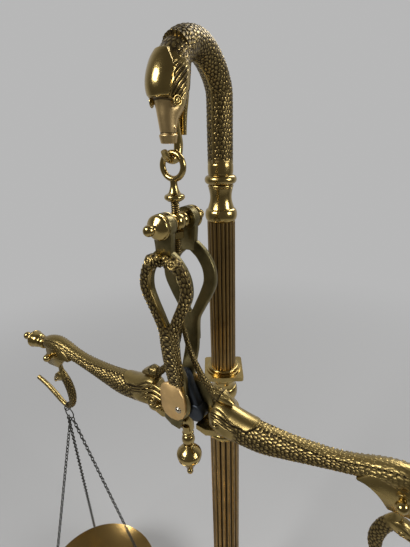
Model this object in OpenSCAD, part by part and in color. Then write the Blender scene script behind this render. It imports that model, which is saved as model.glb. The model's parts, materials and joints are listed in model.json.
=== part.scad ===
// Apothecary beam scale in cast and turned brass, on a reeded column.
// X runs along the level beam, the crook reaches out along -Y, Z is up.
// The origin is the centre of the foot's underside.

/* [Stand] */
// Height of the square plate's top face above the table
plate_z = 470; // [450:5:490]
// Radius of the round foot
foot_r = 104; // [96:2:112]
// Height of the round foot
foot_h = 38; // [32:1:46]
// Thickness of the felt under the foot
felt_t = 2; // [1:0.5:3]
// Height of the turned socle on the foot
socle_h = 44; // [36:2:56]
// Radius of the lower shaft over its reeds
lower_r = 16.5; // [15:0.5:18]
// Number of reeds on the lower shaft
lower_reeds = 16; // [12:1:20]
// Radius of the upper shaft over its reeds
upper_r = 12.9; // [12:0.1:14]
// Number of reeds on the upper shaft
upper_reeds = 20; // [16:1:24]
// Length of the upper shaft
upper_h = 154; // [140:2:170]
// Height of the capital under the square plate
capital_h = 82; // [74:2:90]
// Side of the square plate
plate_w = 40; // [36:1:44]
// Thickness of the square plate
plate_t = 4; // [3:0.5:6]
// Turn of the square plate about the column
plate_turn = 31; // [0:1:45]
// Height of the turned collar on the upper shaft
collar_h = 51; // [47:1:56]
// Radius of the tie rod through the column
tie_r = 4; // [3:0.5:5]

/* [Crook] */
// Reach of the crook from the column to the hanging axis
reach = 70; // [66:1:78]
// Height of the straight neck above the collar
neck_h = 54; // [48:1:62]
// Rise of the crook's arch over the straight neck
arch_rise = 35; // [32:1:40]
// Radius of the scaled neck
neck_r = 11.2; // [10:0.2:12.5]
// Radius of the hook's wire at its lowest point
hook_r = 2.7; // [2.2:0.1:3.2]

/* [Suspension] */
// Outer radius of the eye at the top of the suspension
eye_r = 11.5; // [10.5:0.5:13]
// Radius of the eye's wire
eye_wire = 2.3; // [1.8:0.1:2.8]
// Radius of the threaded rod
rod_r = 3.4; // [2.8:0.2:4]
// Pitch of the thread on the rod
rod_pitch = 1.6; // [1.2:0.1:2]
// Height of the cross spindle above the beam's knife edge
spindle_rise = 168; // [160:1:176]
// Distance between the outer faces of the two cheeks
cheek_span = 32; // [30:1:36]
// Thickness of each cheek
cheek_t = 5.5; // [4.5:0.5:6.5]
// Half width of the lyre at its widest, to the middle of the arm
lyre_w = 23; // [20:1:25]
// Half width of the arms of the lyre
lyre_arm = 4; // [3:0.5:5]
// Thickness of the steel bearing plate
bearing_t = 9; // [7:0.5:10]
// Length of the bottom finial
finial_h = 58; // [50:2:64]

/* [Beam] */
// Distance from the centre knife edge to each end knife edge
arm_l = 180; // [172:1:188]
// Height of the centre knife edge above the square plate
knife_rise = 4; // [2:0.5:8]
// Greatest half height of an arm
arm_r = 13.4; // [12:0.2:14.5]
// Thickness of the lapped snout plates
snout_t = 7; // [6:0.5:8]
// Distance between the outer faces of the two snout plates
snout_span = 25; // [24:0.5:25.5]
// Height of the needle's tip above the centre knife edge
needle_h = 106; // [96:2:112]
// Half width of the block that holds each end knife edge
block_w = 8.5; // [7.5:0.5:10]
// Radius of the ball on each end pin
ball_r = 4.3; // [3.5:0.1:5]

/* [Pans] */
// Height of a pan's rim above the table
rim_z = 78; // [70:1:86]
// Radius of a pan at its rim
pan_r = 84; // [78:1:86]
// Depth of a pan
pan_d = 22; // [18:1:26]
// Thickness of a pan's sheet
pan_t = 1.4; // [1:0.1:2]
// Radius of the wire of a chain link
link_wire = 0.7; // [0.6:0.05:0.8]
// Links in each chain
link_count = 40; // [36:1:44]

/* [Hidden] */
$fn = 48;
brass = "#b5924a";
dark_brass = "#7a6230";
steel = "#4a5058";
// running clearance of what turns or slides
gap = 0.06;
// clearance of what hangs loosely
slack = 0.3;
// how far a joined detail is sunk into what carries it
sink = 0.4;
// heights up the column
shaft_z = felt_t + foot_h + socle_h;
capital_z = plate_z - plate_t - capital_h;
ring_h = 5;
upper_z = plate_z + ring_h;
collar_z = upper_z + upper_h;
neck_z = collar_z + collar_h;
arch_z = neck_z + neck_h;
// heights down the hanging axis
knife_z = plate_z + knife_rise;
spindle_z = knife_z + spindle_rise;
hook_z = arch_z - 47;
// radius of the cross spindle, of the centre axle and of the end pins
axle_r = 3;
knife_r = 3.4;
pin_r = 2.6;
// straight root of the hook inside the mouth
root_r = 3.2;
root_lean = 11.5;
eye_z = hook_z + hook_r + slack + eye_wire - (eye_r - eye_wire);
eye_top = eye_z + eye_r - eye_wire;
rod_foot = spindle_z - 24;
// the two cheeks and the lapped snouts, measured from the hanging axis
cheek_in = cheek_span / 2 - cheek_t;
snout_out = snout_span / 2;
snout_in = snout_out - snout_t;
// hooks and pans, measured down from an end knife edge
u_drop = 79;
u_wire = 2.6;
ring_r = 5.2;
ring_wire = 0.7;
big_ring_r = 7;
rim_ring_r = 3.4;
// angles of the three chains round a pan, and how far from its foot each hangs on its ring
chain_a = 23;
chain_b = 143;
chain_c = 263;
chain_lean = 35;

// Points of a bead from z0 to z1 that stands b proud of radius r
function bead(z0, z1, r, b) = [for (k = [0:7])
  [r + b * sin(180 * k / 7), z0 + (z1 - z0) * (1 - cos(180 * k / 7)) / 2]];

// Points of a cove from radius r0 at z0 to r1 at z1, hollowed by d
function cove(z0, z1, r0, r1, d) = [for (k = [0:7])
  [r0 + (r1 - r0) * k / 7 - d * sin(180 * k / 7), z0 + (z1 - z0) * k / 7]];

// A smooth value between the rows [t, value...] of a table
function row_at(rows, t, k) = let(n = len(rows) - 1,
  i = max([for (j = [0:n - 1]) t >= rows[j][0] ? j : 0]),
  u = (t - rows[i][0]) / (rows[i + 1][0] - rows[i][0]),
  d = rows[i + 1][0] - rows[i][0],
  m0 = i == 0 ? (rows[1][k] - rows[0][k]) / d
     : (rows[i + 1][k] - rows[i - 1][k]) / (rows[i + 1][0] - rows[i - 1][0]),
  m1 = i == n - 1 ? (rows[n][k] - rows[n - 1][k]) / d
     : (rows[i + 2][k] - rows[i][k]) / (rows[i + 2][0] - rows[i][0]))
  rows[i][k] * (1 - 3 * u * u + 2 * u * u * u) + rows[i + 1][k] * (3 * u * u - 2 * u * u * u)
  + d * m0 * (u - 2 * u * u + u * u * u) + d * m1 * (u * u * u - u * u);

// Unit vector
function unit(v) = v / norm(v);

// Centre line of a table of rows [t, x, y, z, ...]
function place(rows, t) = [row_at(rows, t, 1), row_at(rows, t, 2), row_at(rows, t, 3)];

// One ring of a sweep: an ellipse across the path, r wide along the side vector
function sweep_ring(rows, t, side, n) = let(
  e = 0.01 * (rows[len(rows) - 1][0] - rows[0][0]),
  t0 = max(t - e, rows[0][0]), t1 = min(t + e, rows[len(rows) - 1][0]),
  dir = unit(place(rows, t1) - place(rows, t0)), up = unit(cross(side, dir)), c = place(rows, t),
  rs = row_at(rows, t, 4), ru = row_at(rows, t, 5))
  [for (k = [0:n - 1]) c + rs * cos(360 * k / n) * side + ru * sin(360 * k / n) * up];

// A closed skin over rings of equal point counts, with a point at each end
module skin(rings) {
  n = len(rings[0]);
  m = len(rings);
  c0 = [for (c = [0:2]) [for (p = rings[0]) p[c]] * [for (k = [1:n]) 1 / n]];
  c1 = [for (c = [0:2]) [for (p = rings[m - 1]) p[c]] * [for (k = [1:n]) 1 / n]];
  points = concat([for (r = rings) each r], [c0, c1]);
  sides = [for (i = [0:m - 2]) for (k = [0:n - 1]) let(a = i * n + k, b = i * n + (k + 1) % n)
    each [[a, b, a + n], [b, b + n, a + n]]];
  caps = [for (k = [0:n - 1]) let(j = (k + 1) % n)
    each [[j, k, m * n], [(m - 1) * n + k, (m - 1) * n + j, m * n + 1]]];
  polyhedron(points = points, faces = concat(sides, caps), convexity = 8);
}

// A swept body: rows are [t, x, y, z, half width along side, half height across it]
module sweep(rows, side, steps, n) {
  t0 = rows[0][0];
  t1 = rows[len(rows) - 1][0];
  skin([for (i = [0:steps]) sweep_ring(rows, t0 + (t1 - t0) * i / steps, side, n)]);
}

// A turned piece round the column: profile points with a bore through it
module turned(points, bore) {
  n = len(points) - 1;
  rotate_extrude() polygon(concat([[bore, points[0][1]]], points, [[bore, points[n][1]]]));
}

// Outline of a reeded shaft
function reeded(n, r) = let(rr = PI * r / (n + PI), rc = r - rr)
  [for (i = [0:n - 1]) for (a = [-72:36:72]) [rc * cos(360 * i / n) + rr * cos(360 * i / n + a),
    rc * sin(360 * i / n) + rr * sin(360 * i / n + a)]];

module reeded_shaft(r, n, z, h) {
  translate([0, 0, z]) difference() {
    linear_extrude(h) polygon(reeded(n, r));
    translate([0, 0, -1]) cylinder(r = tie_r + gap, h = h + 2);
  }
}

// Placed on the hanging axis at height z
module on_axis(z) {
  translate([0, -reach, z]) children();
}

// A length along Y, from y0 to y1, measured from the hanging axis
module along_y(y0, y1) {
  translate([0, y1, 0]) rotate([90, 0, 0]) linear_extrude(y1 - y0) children();
}

module base_felt() {
  color("darkgreen") cylinder(r = foot_r - 3, h = felt_t);
}

module base_foot() {
  wall = 6;
  hollow = foot_h * 0.55;
  color(brass) translate([0, 0, felt_t]) difference() {
    turned(concat([[foot_r, 0], [foot_r, 6]], bead(6, 12, foot_r - 4, 2.5),
      cove(13, foot_h * 0.55, foot_r - 8, 62, 5), bead(foot_h * 0.56, foot_h * 0.7, 60, 3),
      cove(foot_h * 0.72, foot_h, 56, 32, 5)), tie_r + gap);
    translate([0, 0, -1]) cylinder(r = 78, h = 9);
    translate([0, 0, -1]) cylinder(r = 56 - wall, h = hollow + 1);
  }
}

module base_weight() {
  color("dimgray") translate([0, 0, felt_t]) difference() {
    cylinder(r = 78 - slack, h = 8 - slack);
    translate([0, 0, -1]) cylinder(r = 18, h = 10);
  }
}

module tie_rod() {
  color(steel) translate([0, 0, felt_t + 8]) cylinder(r = tie_r, h = neck_z - 8 - felt_t - 8);
}

module tie_nut() {
  top = felt_t + foot_h * 0.55;
  color(steel) translate([0, 0, top - 6]) difference() {
    cylinder(r = 8, h = 6, $fn = 6);
    translate([0, 0, -1]) cylinder(r = tie_r + gap, h = 8);
  }
}

module column_socle() {
  h = socle_h;
  color(brass) translate([0, 0, felt_t + foot_h]) turned(concat([[30, 0], [30, h * 0.1]],
    bead(h * 0.1, h * 0.26, 28, 3), cove(h * 0.28, h * 0.62, 25, 18, 4),
    bead(h * 0.63, h * 0.8, 18, 3.5), [[18, h * 0.82]], bead(h * 0.84, h * 0.96, lower_r + 0.5, 1.8),
    [[lower_r + 0.5, h]]), tie_r + gap);
}

module lower_shaft() {
  color(brass) reeded_shaft(lower_r, lower_reeds, shaft_z, capital_z - shaft_z);
}

module capital() {
  h = capital_h;
  color(brass) translate([0, 0, capital_z]) turned(concat([[lower_r + 0.5, 0]],
    bead(h * 0.01, h * 0.1, lower_r + 0.5, 2.2), [[lower_r, h * 0.12]],
    cove(h * 0.12, h * 0.36, lower_r, 16.8, 1.4), bead(h * 0.37, h * 0.45, 15.6, 1.4),
    cove(h * 0.46, h * 0.62, 14.6, 12.4, 1.2), bead(h * 0.63, h * 0.79, 12.6, 1.9),
    cove(h * 0.8, h * 0.9, 12.4, 13.4, 0.6), bead(h * 0.91, h * 0.97, 13.2, 0.9), [[13.6, h]]),
    tie_r + gap);
}

// Outline of a square with round corners
function round_square(w, r) = [for (q = [0:3]) for (a = [0:22.5:90])
  let(c = (w / 2 - r) * (q == 0 ? [1, 1] : q == 1 ? [-1, 1] : q == 2 ? [-1, -1] : [1, -1]))
  c + r * [cos(90 * q + a), sin(90 * q + a)]];

module square_plate() {
  color(brass) translate([0, 0, plate_z - plate_t]) rotate([0, 0, plate_turn]) difference() {
    linear_extrude(plate_t) polygon(round_square(plate_w, 3));
    translate([0, 0, -1]) cylinder(r = tie_r + gap, h = plate_t + 2);
  }
}

module plate_ring() {
  color(brass) translate([0, 0, plate_z]) turned(concat([[plate_w / 2 - 2, 0]],
    [[plate_w / 2 - 2, 1.5]], [[upper_r + 3.4, 1.8]], bead(1.8, ring_h - 0.2, upper_r + 1.6, 1.6),
    [[upper_r, ring_h]]), tie_r + gap);
}

module upper_shaft() {
  color(brass) reeded_shaft(upper_r, upper_reeds, upper_z, upper_h);
}

module top_collar() {
  h = collar_h;
  color(brass) translate([0, 0, collar_z]) difference() {
    turned(concat([[upper_r, 0]], bead(0.5, h * 0.22, upper_r - 0.6, 2.3),
      cove(h * 0.23, h * 0.58, 12, 11, 1.7), bead(h * 0.59, h * 0.64, 10.6, 0.9),
      bead(h * 0.65, h * 0.8, 11, 3.3), [[neck_r - 0.2, h * 0.81]], [[neck_r - 0.2, h]]), 0);
    translate([0, 0, -1]) cylinder(r = tie_r + gap, h = h - 7);
  }
}

// Centre line of the crook from the collar over the arch: [t, x, y, z, half width, half height]
function crook(t0, t1, n) = [for (i = [0:n]) let(t = t0 + (t1 - t0) * i / n, a = 180 * t)
  [t, 0, -reach / 2 + reach / 2 * (abs(cos(a)) ^ 0.86) * sign(cos(a)), arch_z + arch_rise * sin(a) ^ 0.9,
    neck_r, neck_r]];

// Plane where the head is fixed to the neck: everything on one side of it
module beyond_joint(side) {
  translate([0, -reach + 21, arch_z + 31.6]) rotate([30, 0, 0])
    translate([-20, side > 0 ? -gap / 2 : gap / 2 - 30, -20]) cube([40, 30, 40]);
}

module neck() {
  rows = concat([[-0.5, 0, 0, neck_z, neck_r, neck_r], [-0.25, 0, 0, neck_z + neck_h / 2, neck_r,
    neck_r]], crook(0, 0.72, 7));
  color(dark_brass) difference() {
    sweep(rows, [1, 0, 0], 28, 18);
    beyond_joint(-1);
  }
}

// The head points down: the crown faces the front and the throat faces the column
module dolphin_head() {
  y = -reach;
  z = arch_z;
  crown = [[0, 0, y + 27, z + 34.6, 11.4, 11.4], [1, 0, y + 12, z + 24, 13.6, 13.4],
    [2, 0, y + 5, z + 14, 14, 15], [3, 0, y + 1, z + 2, 13.4, 14.6], [4, 0, y - 2, z - 8, 11, 11.4],
    [5, 0, y - 4, z - 17, 8.6, 7.4], [6, 0, y - 4.4, z - 25, 8.4, 6.6], [7, 0, y - 4.6, z - 30, 5, 4]];
  jaw = [[0, 0, y + 11, z - 2, 8, 5], [1, 0, y + 10, z - 12, 6, 3.6], [2, 0, y + 9, z - 21, 4.6, 2.8],
    [3, 0, y + 8.6, z - 27, 3, 2]];
  color(brass) difference() {
    union() {
      sweep(crown, [1, 0, 0], 20, 18);
      sweep(jaw, [1, 0, 0], 8, 10);
    }
    beyond_joint(1);
    translate([0, y + 3.5, z - 12]) rotate([180 + root_lean, 0, 0]) cylinder(r = root_r + gap, h = 24);
  }
}

// Hook that leaves the mouth behind the eye, passes under it and rises in front
module support_hook() {
  y = -reach;
  rows = concat([for (k = [0:3]) [k, 0, y + 3.5 + 8 * k * tan(root_lean), arch_z - 12.1 - 8 * k, root_r,
    root_r]], [[4, 0, y + 6.2, hook_z + 2.6, 3, 3], [5, 0, y, hook_z, hook_r, hook_r],
    [6, 0, y - 6.4, hook_z + 2.8, 2.5, 2.5], [7, 0, y - 9.6, hook_z + 7, 1.8, 1.8]]);
  color(brass) sweep(rows, [1, 0, 0], 24, 12);
}

module eye_bolt() {
  r = eye_r - eye_wire;
  top = eye_z - r;
  thread = spindle_z + 15;
  teeth = floor((thread - rod_foot) / rod_pitch);
  color(brass) on_axis(0) union() {
    translate([0, 0, eye_z]) rotate([90, 0, 0]) rotate_extrude() translate([r, 0]) circle(r = eye_wire);
    translate([0, 0, 0]) rotate_extrude() polygon(concat([[0, thread], [rod_r, thread]],
      [[5.6, thread + 1]], bead(thread + 1.5, thread + 6, 5.6, 2.2), [[4.6, thread + 7]],
      cove(thread + 7, top - 1, 4.4, 2.6, 0.7), [[0, top - 1]]));
    rotate_extrude() polygon(concat([[0, rod_foot], [rod_r - 0.6, rod_foot]],
      [for (k = [0:teeth - 1]) each [[rod_r, rod_foot + (k + 0.5) * rod_pitch],
      [rod_r - 0.6, rod_foot + (k + 1) * rod_pitch]]], [[rod_r - 0.6, thread + 0.5], [0, thread + 0.5]]));
  }
}

module rod_nut() {
  color(brass) on_axis(spindle_z - 7.2 - 5) difference() {
    cylinder(r = 6.4, h = 5, $fn = 6);
    translate([0, 0, -1]) cylinder(r = rod_r + gap, h = 8);
  }
}

// Axle that joins the cheeks; the threaded rod passes through the barrel round it
module cross_spindle() {
  bore = rod_r + slack;
  color(brass) on_axis(spindle_z) for (s = [0, 180]) rotate([0, 0, s]) rotate([90, 0, 0])
    translate([0, 0, bore + 2.4]) cylinder(r = axle_r, h = cheek_span / 2 + 5 - bore - 2.4);
}

module cross_barrel() {
  w = cheek_in;
  color(brass) on_axis(spindle_z) difference() {
    rotate([90, 0, 0]) rotate_extrude() polygon(concat([[0, -w], [7, -w]], [[7, -w + 1.2]],
      bead(-w + 1.6, -4, 4.6, 1.2), bead(-3.8, 3.8, 5.2, 2), bead(4, w - 1.6, 4.6, 1.2),
      [[7, w - 1.2], [7, w]], [[0, w]]));
    translate([0, 0, -10]) cylinder(r = rod_r + gap, h = 20);
    for (s = [-90, 90]) rotate([s, 0, 0]) translate([0, 0, rod_r + slack + 2.4 - gap])
      cylinder(r = axle_r + gap, h = 20);
  }
}

// Domed cap and ball on one end of the spindle, outside the cheek
module spindle_cap() {
  color(brass) on_axis(spindle_z) rotate([90, 0, 0]) difference() {
    translate([0, 0, cheek_span / 2]) rotate_extrude() polygon(concat([[0, 0], [8.2, 0], [8.2, 1]],
      cove(1, 6.4, 7.6, 3, -1.6), [[2.2, 7.2], [2, 8.4]], bead(8.6, 14.6, 0.6, 2.8), [[0, 14.6]]));
    cylinder(r = axle_r + gap, h = cheek_span / 2 + 5 + gap);
  }
}

module front_cap() {
  spindle_cap();
}

module rear_cap() {
  translate([0, -2 * reach, 0]) rotate([0, 0, 180]) spindle_cap();
}

// Middle line of one arm of the lyre, from the stem up: [t, x, z, half width]
lyre_top = spindle_rise - 26;
lyre_foot = 74;
lyre_rows = [[0, 3.4, 34, 4.4], [1, 3.4, lyre_foot, 4.2], [2, lyre_w * 0.62, lyre_foot + 21, lyre_arm],
  [3, lyre_w, lyre_foot + 47, lyre_arm + 0.8], [4, lyre_w * 0.72, lyre_top - 4, lyre_arm + 0.6],
  [5, 3.6, lyre_top + 6, lyre_arm + 1.6]];

// Points along one arm of the lyre, beside its middle line: side 1 is the outside, -1 the inside
function lyre_side(side) = let(n = 22, t1 = 5,
  at = function (t) [row_at(lyre_rows, t, 1), row_at(lyre_rows, t, 2)])
  [for (i = [0:n]) let(t = t1 * i / n, d = unit(at(min(t + 0.02, t1)) - at(max(t - 0.02, 0))))
    at(t) + side * row_at(lyre_rows, t, 3) * [d[1], -d[0]]];

// A closed outline from its right half
function both_sides(half) = let(m = len(half) - 1)
  concat(half, [for (i = [m:-1:0]) [-half[i][0], half[i][1]]]);

module lyre() {
  difference() {
    union() {
      polygon(both_sides(concat(lyre_side(1), [[8, spindle_rise]])));
      translate([0, spindle_rise]) circle(r = 8.2);
    }
    polygon(both_sides([for (p = lyre_side(-1)) if (p[0] > 0.4) p]));
    translate([0, spindle_rise]) circle(r = axle_r + gap);
  }
}

module front_cheek() {
  color(dark_brass) on_axis(knife_z) along_y(-cheek_span / 2, -cheek_in) lyre();
}

module rear_cheek() {
  color(dark_brass) on_axis(knife_z) along_y(cheek_in, cheek_span / 2) lyre();
}

// Hardened stirrup between the snout plates, with the V seat for the centre knife
module bearing_plate() {
  color(steel) on_axis(knife_z) union() {
    along_y(-bearing_t / 2, bearing_t / 2) difference() {
      polygon([[-5.5, 46], [5.5, 46], [7, 30], [24, -2], [20, -13], [12, -14], [6, -10], [-6, -10],
        [-12, -14], [-20, -13], [-24, -2], [-7, 30]]);
      polygon(concat([[0, -gap]], [for (a = [-30:20:210]) [6.5 * cos(a), 5 + 6.5 * sin(a)]]));
    }
    along_y(-cheek_in, cheek_in) translate([-5.5, 35]) square([11, 11]);
    for (s = [-1, 1]) along_y(slack - snout_in, snout_in - slack) translate([s * 18.5, -5]) circle(r = 4.6);
  }
}

module bottom_finial() {
  top = knife_z - 10;
  h = finial_h;
  color(brass) on_axis(top - h - 14) union() {
    rotate_extrude() polygon(concat([[0, 0]], bead(0, 6, 0.8, 2.4), [[1.6, 6.2]],
      cove(6.4, h * 0.32, 2.4, 9, 1.5), bead(h * 0.33, h * 0.41, 8.4, 1.2), bead(h * 0.42, h * 0.66, 6, 5.4),
      [[4, h * 0.7]], cove(h * 0.7, h * 0.76, 4, 4.4, 0.6), bead(h * 0.77, h, 4.2, 2.4), [[0, h]]));
    translate([-5, -3, h - sink]) cube([10, 6, 14 + sink]);
  }
}

// Half of the beam, drawn for the right arm: [t, x, y, z, half depth, half height]
arm_rows = [[0, 30, 0, -1, 9.5, 14], [1, 37, 0, -0.5, 12, 16.6], [2, 48, 0, -2, 12.6, 15],
  [3, 62, 0, -3.4, 12.4, arm_r + 0.2], [4, 78, 0, -3.4, 12, arm_r - 0.6], [5, 96, 0, -2, 10.4, 10.6],
  [6, 116, 0, 0.4, 8.8, 8.6], [7, 134, 0, 3.2, 7.8, 7.5], [8, 150, 0, 6.8, 7.8, 7.8],
  [9, 164, 0, 9.8, 8.8, 9.4], [10, 178, 0, 11.4, 9.4, 10.4], [11, 190, 0, 10.4, 8.6, 9],
  [12, 201, 0, 8.8, 5.6, 5.6]];
finial_x = 199;
spigot_r = 2.4;

// Block that hangs under the arm's end and holds the end knife edge
function end_block() = concat([for (k = [0:6]) let(u = k / 6) [146 + 26 * u, 1 - 20 * u * u]],
  [for (a = [-60:30:60]) [arm_l + 6 + 8 * cos(a), -11 + 9 * sin(a)]], [[arm_l + 10, 6]]);

module arm() {
  color(dark_brass) on_axis(plate_z + knife_rise) difference() {
    union() {
      sweep(arm_rows, [0, 1, 0], 30, 16);
      along_y(-block_w, block_w) polygon(end_block());
      along_y(snout_in, snout_out) polygon(concat([[40, -13], [40, 13], [22, 20], [6, 18]],
        [for (a = [100:40:220]) [9 * cos(a), 5 + 13 * sin(a)]], [[-2, -10], [6, -22], [24, -24]]));
    }
    translate([arm_l - 11, -3.4, -30]) cube([21, 6.8, 36]);
    translate([arm_l, 20, -1.6]) rotate([90, 0, 0]) cylinder(r = pin_r + gap, h = 40);
    translate([0, 20, 3]) rotate([90, 0, 0]) cylinder(r = knife_r + gap, h = 40);
    translate([finial_x, -15, -10]) cube([12, 30, 40]);
    translate([finial_x - 5, 0, 9]) rotate([0, 90, 0]) cylinder(r = spigot_r + gap, h = 8);
  }
}

module right_arm() {
  arm();
}

module left_arm() {
  translate([0, -2 * reach, 0]) rotate([0, 0, 180]) arm();
}

// Steel axle through both snout plates, ground to an edge between them
module centre_knife() {
  h = snout_span / 2 + 1;
  color(steel) on_axis(knife_z) union() {
    for (s = [0, 180]) rotate([0, 0, s]) {
      translate([0, -snout_in, 3]) rotate([90, 0, 0]) cylinder(r = knife_r, h = snout_t + 1);
      translate([0, -h, 3]) rotate([90, 0, 0]) rotate_extrude() polygon([for (a = [0:15:90]) [4.6 * cos(a),
        2.4 * sin(a)], [0, 0]]);
    }
    along_y(-snout_in - sink, snout_in + sink) polygon([[0, 0], [2.7, 4.6], [-2.7, 4.6]]);
  }
}

// Two small serpents that rise from the dolphins' brows and join as the pointer
module needle() {
  foot = 19.6;
  leg = [[0, 37, 0, foot, 3.4, 3], [1, 30, 0, foot + 6, 3.6, 3.6], [2, 20, 0, 33, 2.8, 3],
    [3, 13, 0, 44, 2.4, 2.6], [4, 6.6, 0, 58, 2.2, 2.3], [5, 2, 0, 76, 2, 2.2], [6, 0.4, 0, 92, 1.6, 1.6],
    [7, 0, 0, needle_h, 0.7, 0.7]];
  color(dark_brass) on_axis(knife_z) union() {
    sweep(leg, [0, 1, 0], 24, 8);
    mirror([1, 0, 0]) sweep(leg, [0, 1, 0], 24, 8);
  }
}

// Turned finial on the end of an arm, along X
module end_finial() {
  color(brass) on_axis(knife_z + 9) translate([finial_x, 0, 0]) rotate([0, 90, 0]) rotate_extrude()
    polygon(concat([[0, -4.6], [spigot_r, -4.6], [spigot_r, gap], [5, gap]], bead(0.2, 6, 5, 2.4),
      [[4.4, 7]], cove(7, 20, 6, 9.6, 1.4), [[9.6, 22]], cove(22, 29, 8, 2.4, -1.2), [[2, 31]],
      bead(31, 40, 0.8, 3.8), [[0, 40]]));
}

module right_end_finial() {
  end_finial();
}

module left_end_finial() {
  translate([0, -2 * reach, 0]) rotate([0, 0, 180]) end_finial();
}

// Steel end pin with a ball at each side, ground to an edge inside the slot
module end_knife() {
  color(steel) on_axis(knife_z) translate([arm_l, 0, 0]) union() {
    for (s = [0, 180]) rotate([0, 0, s]) translate([0, 0, -1.6]) rotate([90, 0, 0]) {
      translate([0, 0, 3.4]) cylinder(r = pin_r, h = block_w + 3 - 3.4);
      translate([0, 0, block_w + 3 + ball_r - 1]) sphere(r = ball_r);
    }
    along_y(-3.4 - sink, 3.4 + sink) polygon([[0, 0.3], [2, -3], [-2, -3]]);
  }
}

module right_end_knife() {
  end_knife();
}

module left_end_knife() {
  translate([0, -2 * reach, 0]) rotate([0, 0, 180]) end_knife();
}

// Hook with a beast's head: x is outward from the knife edge and z is down from it
hook_rows = [[0, 0, 0, -11, 2.4, 2.6], [1, 0, 0, -26, 2.4, 2.8], [2, -0.5, 0, -36, 3.6, 4.6],
  [3, -6, 0, -46, 3.6, 4.6], [4, -9.4, 0, -58, 3.4, 4.2], [5, -8, 0, -71.4, 3, 3.2],
  [6, 0, 0, -u_drop + 2, u_wire, u_wire],
  [7, 9.4, 0, -75, 2.4, 2.6], [8, 22, 0, -67, 2.2, 2.6], [9, 35, 0, -57, 1.9, 2.4],
  [10, 42, 0, -51, 1.4, 1.7]];
muzzle_rows = [[0, -3, 0, -35, 2.6, 3], [1, 3, 0, -37, 4, 4.8], [2, 10, 0, -40, 3.6, 3.8],
  [3, 17, 0, -44, 2.4, 2.2], [4, 21, 0, -49, 1, 1]];

module beast_hook() {
  color(dark_brass) on_axis(knife_z) translate([arm_l, 0, 0]) union() {
    along_y(-2.5, 2.5) translate([0, -3.9]) difference() {
      circle(r = 7.4);
      circle(r = 4.2 + gap);
    }
    sweep(hook_rows, [0, 1, 0], 32, 10);
    sweep(muzzle_rows, [0, 1, 0], 10, 8);
  }
}

module right_hook() {
  beast_hook();
}

module left_hook() {
  translate([0, -2 * reach, 0]) rotate([0, 0, 180]) beast_hook();
}

// Ring on the hook, and the ring that gathers the three chains
hook_ring_z = -u_drop + 2 + u_wire + 2 * slack + ring_wire - ring_r;
chain_ring_z = hook_ring_z - ring_r + 2 * ring_wire + slack - big_ring_r;

module hook_ring() {
  color(steel) on_axis(knife_z + hook_ring_z) translate([arm_l, 0, 0]) rotate([0, 90, 0])
    rotate_extrude() translate([ring_r, 0]) circle(r = ring_wire);
}

module chain_ring() {
  color(steel) on_axis(knife_z + chain_ring_z) translate([arm_l, 0, 0]) rotate([90, 0, 0])
    rotate_extrude() translate([big_ring_r, 0]) circle(r = ring_wire);
}

// One oval chain link, long along X, lying in the XY plane, with inner length p
module link(p) {
  half = 2.4 * link_wire;
  flat = p / 2 + link_wire - half;
  for (s = [0, 180]) rotate([0, 0, s]) {
    translate([flat, 0, 0]) rotate([0, 0, -90]) rotate_extrude(angle = 180) translate([half, 0])
      circle(r = link_wire);
    translate([-flat, half, 0]) rotate([0, 90, 0]) cylinder(r = link_wire, h = 2 * flat);
  }
}

// The dish is part of a ball; these give its slope and the middle of its sheet at the edge
ball_of_pan = (pan_r * pan_r + pan_d * pan_d) / (2 * pan_d);
edge_a = asin(pan_r / ball_of_pan);
edge_r = pan_r - pan_t / 2 * sin(edge_a);
edge_z = rim_z + pan_t / 2 * cos(edge_a);

// One chain at angle a round the pan: links from the gathering ring, where they hang at angle
// lean, down to a small ring through the pan's edge; every second link is turned a quarter
module chain(a, lean) {
  play = 0.1;
  quarter = round(a / 90);
  n = link_count + 1 - (link_count + quarter) % 2;
  top = [big_ring_r * sin(lean), 0, chain_ring_z - big_ring_r * cos(lean)];
  edge = [edge_r * cos(a), edge_r * sin(a), edge_z - knife_z];
  pitch = (norm(edge - top) - rim_ring_r + ring_wire + link_wire + play) / n;
  dir = unit(edge - top);
  color(steel) on_axis(knife_z) translate([arm_l, 0, 0]) {
    for (k = [0:n - 1]) translate(top + dir * (pitch * (k + 0.5) - play / 2 - ring_wire))
      rotate([0, acos(dir[2]), atan2(dir[1], dir[0])]) rotate([0, -90, 0])
      rotate([90 * (k + quarter) + (a - 90 * quarter) * (1 - k / (n - 1)), 0, 0]) link(pitch + play);
    translate(edge) rotate([0, 0, a]) rotate([90, 0, 0]) rotate_extrude() translate([rim_ring_r, 0])
      circle(r = link_wire);
  }
}

// Spun brass dish with a rolled rim
module pan() {
  r = ball_of_pan;
  in_r = r - pan_t;
  color("#d8b45c") on_axis(0) translate([arm_l, 0, 0]) difference() {
    translate([0, 0, rim_z - pan_d]) rotate_extrude() polygon(concat([[0, 0]],
      [for (k = [1:10]) [r * sin(edge_a * k / 10), r - r * cos(edge_a * k / 10)]],
      [for (k = [10:-1:1]) [in_r * sin(edge_a * k / 10), r - in_r * cos(edge_a * k / 10)]], [[0, pan_t]]));
    for (a = [chain_a, chain_b, chain_c]) rotate([0, 0, a]) translate([edge_r - rim_ring_r * cos(edge_a), 0,
      edge_z - rim_ring_r * sin(edge_a)]) rotate([0, -edge_a, 0]) translate([0, 0, -4])
      cylinder(r = link_wire + 1, h = 8);
  }
}

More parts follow.
